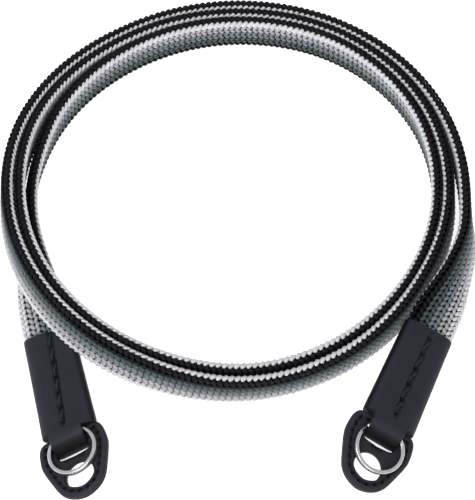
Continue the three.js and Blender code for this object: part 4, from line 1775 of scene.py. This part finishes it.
@dataclass
class SplitRing:
    """Split ring: two turns of flat wire, which steps from the lower turn to the upper at the split.

    Attributes:
        end: Which end, and where it sits.
        diameter: Outside diameter, in millimetres.
        radial: Width of the wire along the radius.
        height: Height of the two turns together.
        step: Angle over which the wire climbs, in degrees.
        above_plate: Height of its under side over the protector's middle plane, in millimetres.
        rounding: Power that rounds the corners of the wire.
        gap: Half the gap between the two turns.
        sides: Points round the wire.
        rings: Sections along the wire.
    """

    end: End
    diameter: float = 16.1
    radial: float = 1.15
    height: float = 1.9
    step: float = 26.0
    above_plate: float = 1.45
    rounding: float = 0.55
    gap: float = 0.03
    sides: int = 16
    rings: int = 200

    def wire(self) -> Shell:
        """The wire: its section, a rectangle with rounded corners, carried twice round a circle.

        Height rises by one thickness of wire as the angle passes one full turn, as a smooth step; the
        two ends are drawn in a little, so that each shows.

        Returns:
            The wire's shell.
        """
        split = np.radians(self.end.ring_split)
        half_step, full_turn = np.radians(self.step / 2), 2 * np.pi
        margin = half_step + np.radians(3)
        turn = np.linspace(margin, 2 * full_turn - margin, self.rings)
        half_wire = self.height / 4
        climb = smooth(turn, full_turn - half_step, full_turn + half_step)
        middle = half_wire * (2 * climb - 1)
        section = squarish(self.sides, self.rounding)
        radius = (self.diameter - self.radial) / 2
        ends = np.minimum(turn - turn[0], turn[-1] - turn) / np.radians(2.5)
        shrink = 0.72 + 0.28 * np.sqrt(1 - (1 - np.clip(ends, 0, 1)) ** 2)
        angle = turn + split
        radial = radius + section[None, :, 0] * self.radial / 2 * shrink[:, None]
        up = middle[:, None] + section[None, :, 1] * (half_wire - self.gap) * shrink[:, None]
        x = self.end.ring_along + radial * np.cos(angle)[:, None]
        y = self.end.ring_across + radial * np.sin(angle)[:, None]
        z = self.above_plate + self.height / 2 + up
        rings = self.end.slot.place(np.stack([x, y, z], axis=-1))
        uv = strand_uv(radius * turn, self.sides)
        # Painted shade and highlight in the tone: dark along the wire's foot and on top of the lower
        # turn under the upper one, the lower turn darker than the upper, and the top of the upper turn
        # a painted highlight.
        upper = smooth(turn, full_turn - 0.3, full_turn + 0.3)[:, None]
        foot = smooth(section[None, :, 1], -0.9, -0.3)
        top = smooth(section[None, :, 1], 0.2, 0.9)
        tone = 0.04 + (0.4 + 0.25 * upper) * foot + (0.68 * upper - 0.38) * top
        return loft(MM * rings[:, ::-1], tone=tone[:, ::-1], uv=uv[:, ::-1])

    def build(self) -> None:
        """Builds the ring."""
        name = self.end.side.value + "_split_ring"
        dress(self.wire(), name + "_wire", RingSteel(), [name])


# ---- The studio -----------------------------------------------------------------------------------


@dataclass
class Studio:
    """White floor, soft light from above and the camera.

    Attributes:
        camera_at: Where the camera stands, in metres.
        camera_tilt: Its tilt from straight down, in degrees.
        lens: Focal length on a film 36 mm wide, in millimetres.
        floor_half: Half the side of the floor, in metres.
        lamp_side: Side of each soft light, in metres.
        room_light: Strength of the even light of the room.
    """

    camera_at: tuple[float, float, float] = (-0.000211, -0.29099, 0.51718)
    camera_tilt: float = 29.31
    lens: float = 131.5
    floor_half: float = 2.5
    lamp_side: float = 0.6
    room_light: float = 0.5

    def floor(self) -> None:
        """Lays the floor: one square, its level that of the strap's underside."""
        half = self.floor_half
        corners = np.array([(-half, -half, 0), (half, -half, 0), (half, half, 0), (-half, half, 0)])
        floor = Shell(points=corners, quads=np.array([[0, 1, 2, 3]])).to_object("floor")
        floor.data.materials.append(StudioFloor().make())

    def light(self, name: str, at: tuple[float, float, float], power: float) -> None:
        """Adds a soft square light that faces the middle of the strap.

        Args:
            name: Its name.
            at: Where it hangs, in metres.
            power: Its power, in watts.
        """
        data = bpy.data.lights.new(name, "AREA")
        data.shape = "SQUARE"
        data.size = self.lamp_side
        data.energy = power
        lamp = bpy.data.objects.new(name, data)
        lamp.location = at
        lamp.rotation_euler = Vector(at).to_track_quat("Z", "Y").to_euler()
        bpy.context.collection.objects.link(lamp)

    def world(self) -> None:
        """Fills the room with even white light."""
        world = bpy.data.worlds.new("white_room")
        world.use_nodes = True
        background = world.node_tree.nodes["Background"]
        background.inputs["Color"].default_value = (1.0, 1.0, 1.0, 1.0)
        background.inputs["Strength"].default_value = self.room_light
        bpy.context.scene.world = world

    def camera(self) -> None:
        """Stands the camera in front of the strap, looking down at it."""
        data = bpy.data.cameras.new("camera")
        data.lens = self.lens
        data.sensor_width = 36.0
        data.clip_start = 0.01
        data.clip_end = 50.0
        camera = bpy.data.objects.new("camera", data)
        camera.location = self.camera_at
        camera.rotation_euler = (np.radians(self.camera_tilt), 0.0, 0.0)
        bpy.context.collection.objects.link(camera)
        bpy.context.scene.camera = camera

    def build(self) -> None:
        """Sets up floor, lights, room and camera."""
        self.floor()
        self.light("soft_overhead", (-0.35, -0.3, 0.9), 4.4)
        self.light("soft_left", (-0.9, -0.5, 0.6), 0.2)
        self.light("soft_front", (0.1, -0.9, 0.75), 3.0)
        self.world()
        self.camera()
        scene = bpy.context.scene
        scene.view_settings.view_transform = "Standard"
        scene.view_settings.look = "None"


def main() -> None:
    """Builds the strap and its studio."""
    logging.basicConfig(level=logging.INFO, format="%(message)s")
    lay = Lay()
    hidden = 2 * lay.sheath_run
    log.info("band of %.0f mm, %.0f mm of it in view", lay.length(), lay.length() - hidden)
    KnitBand(lay).build()
    for end in (RIGHT_END, LEFT_END):
        Sheath(end).build()
        Protector(end).build()
        SplitRing(end).build()
    Studio().build()


if __name__ == "__main__":
    main()
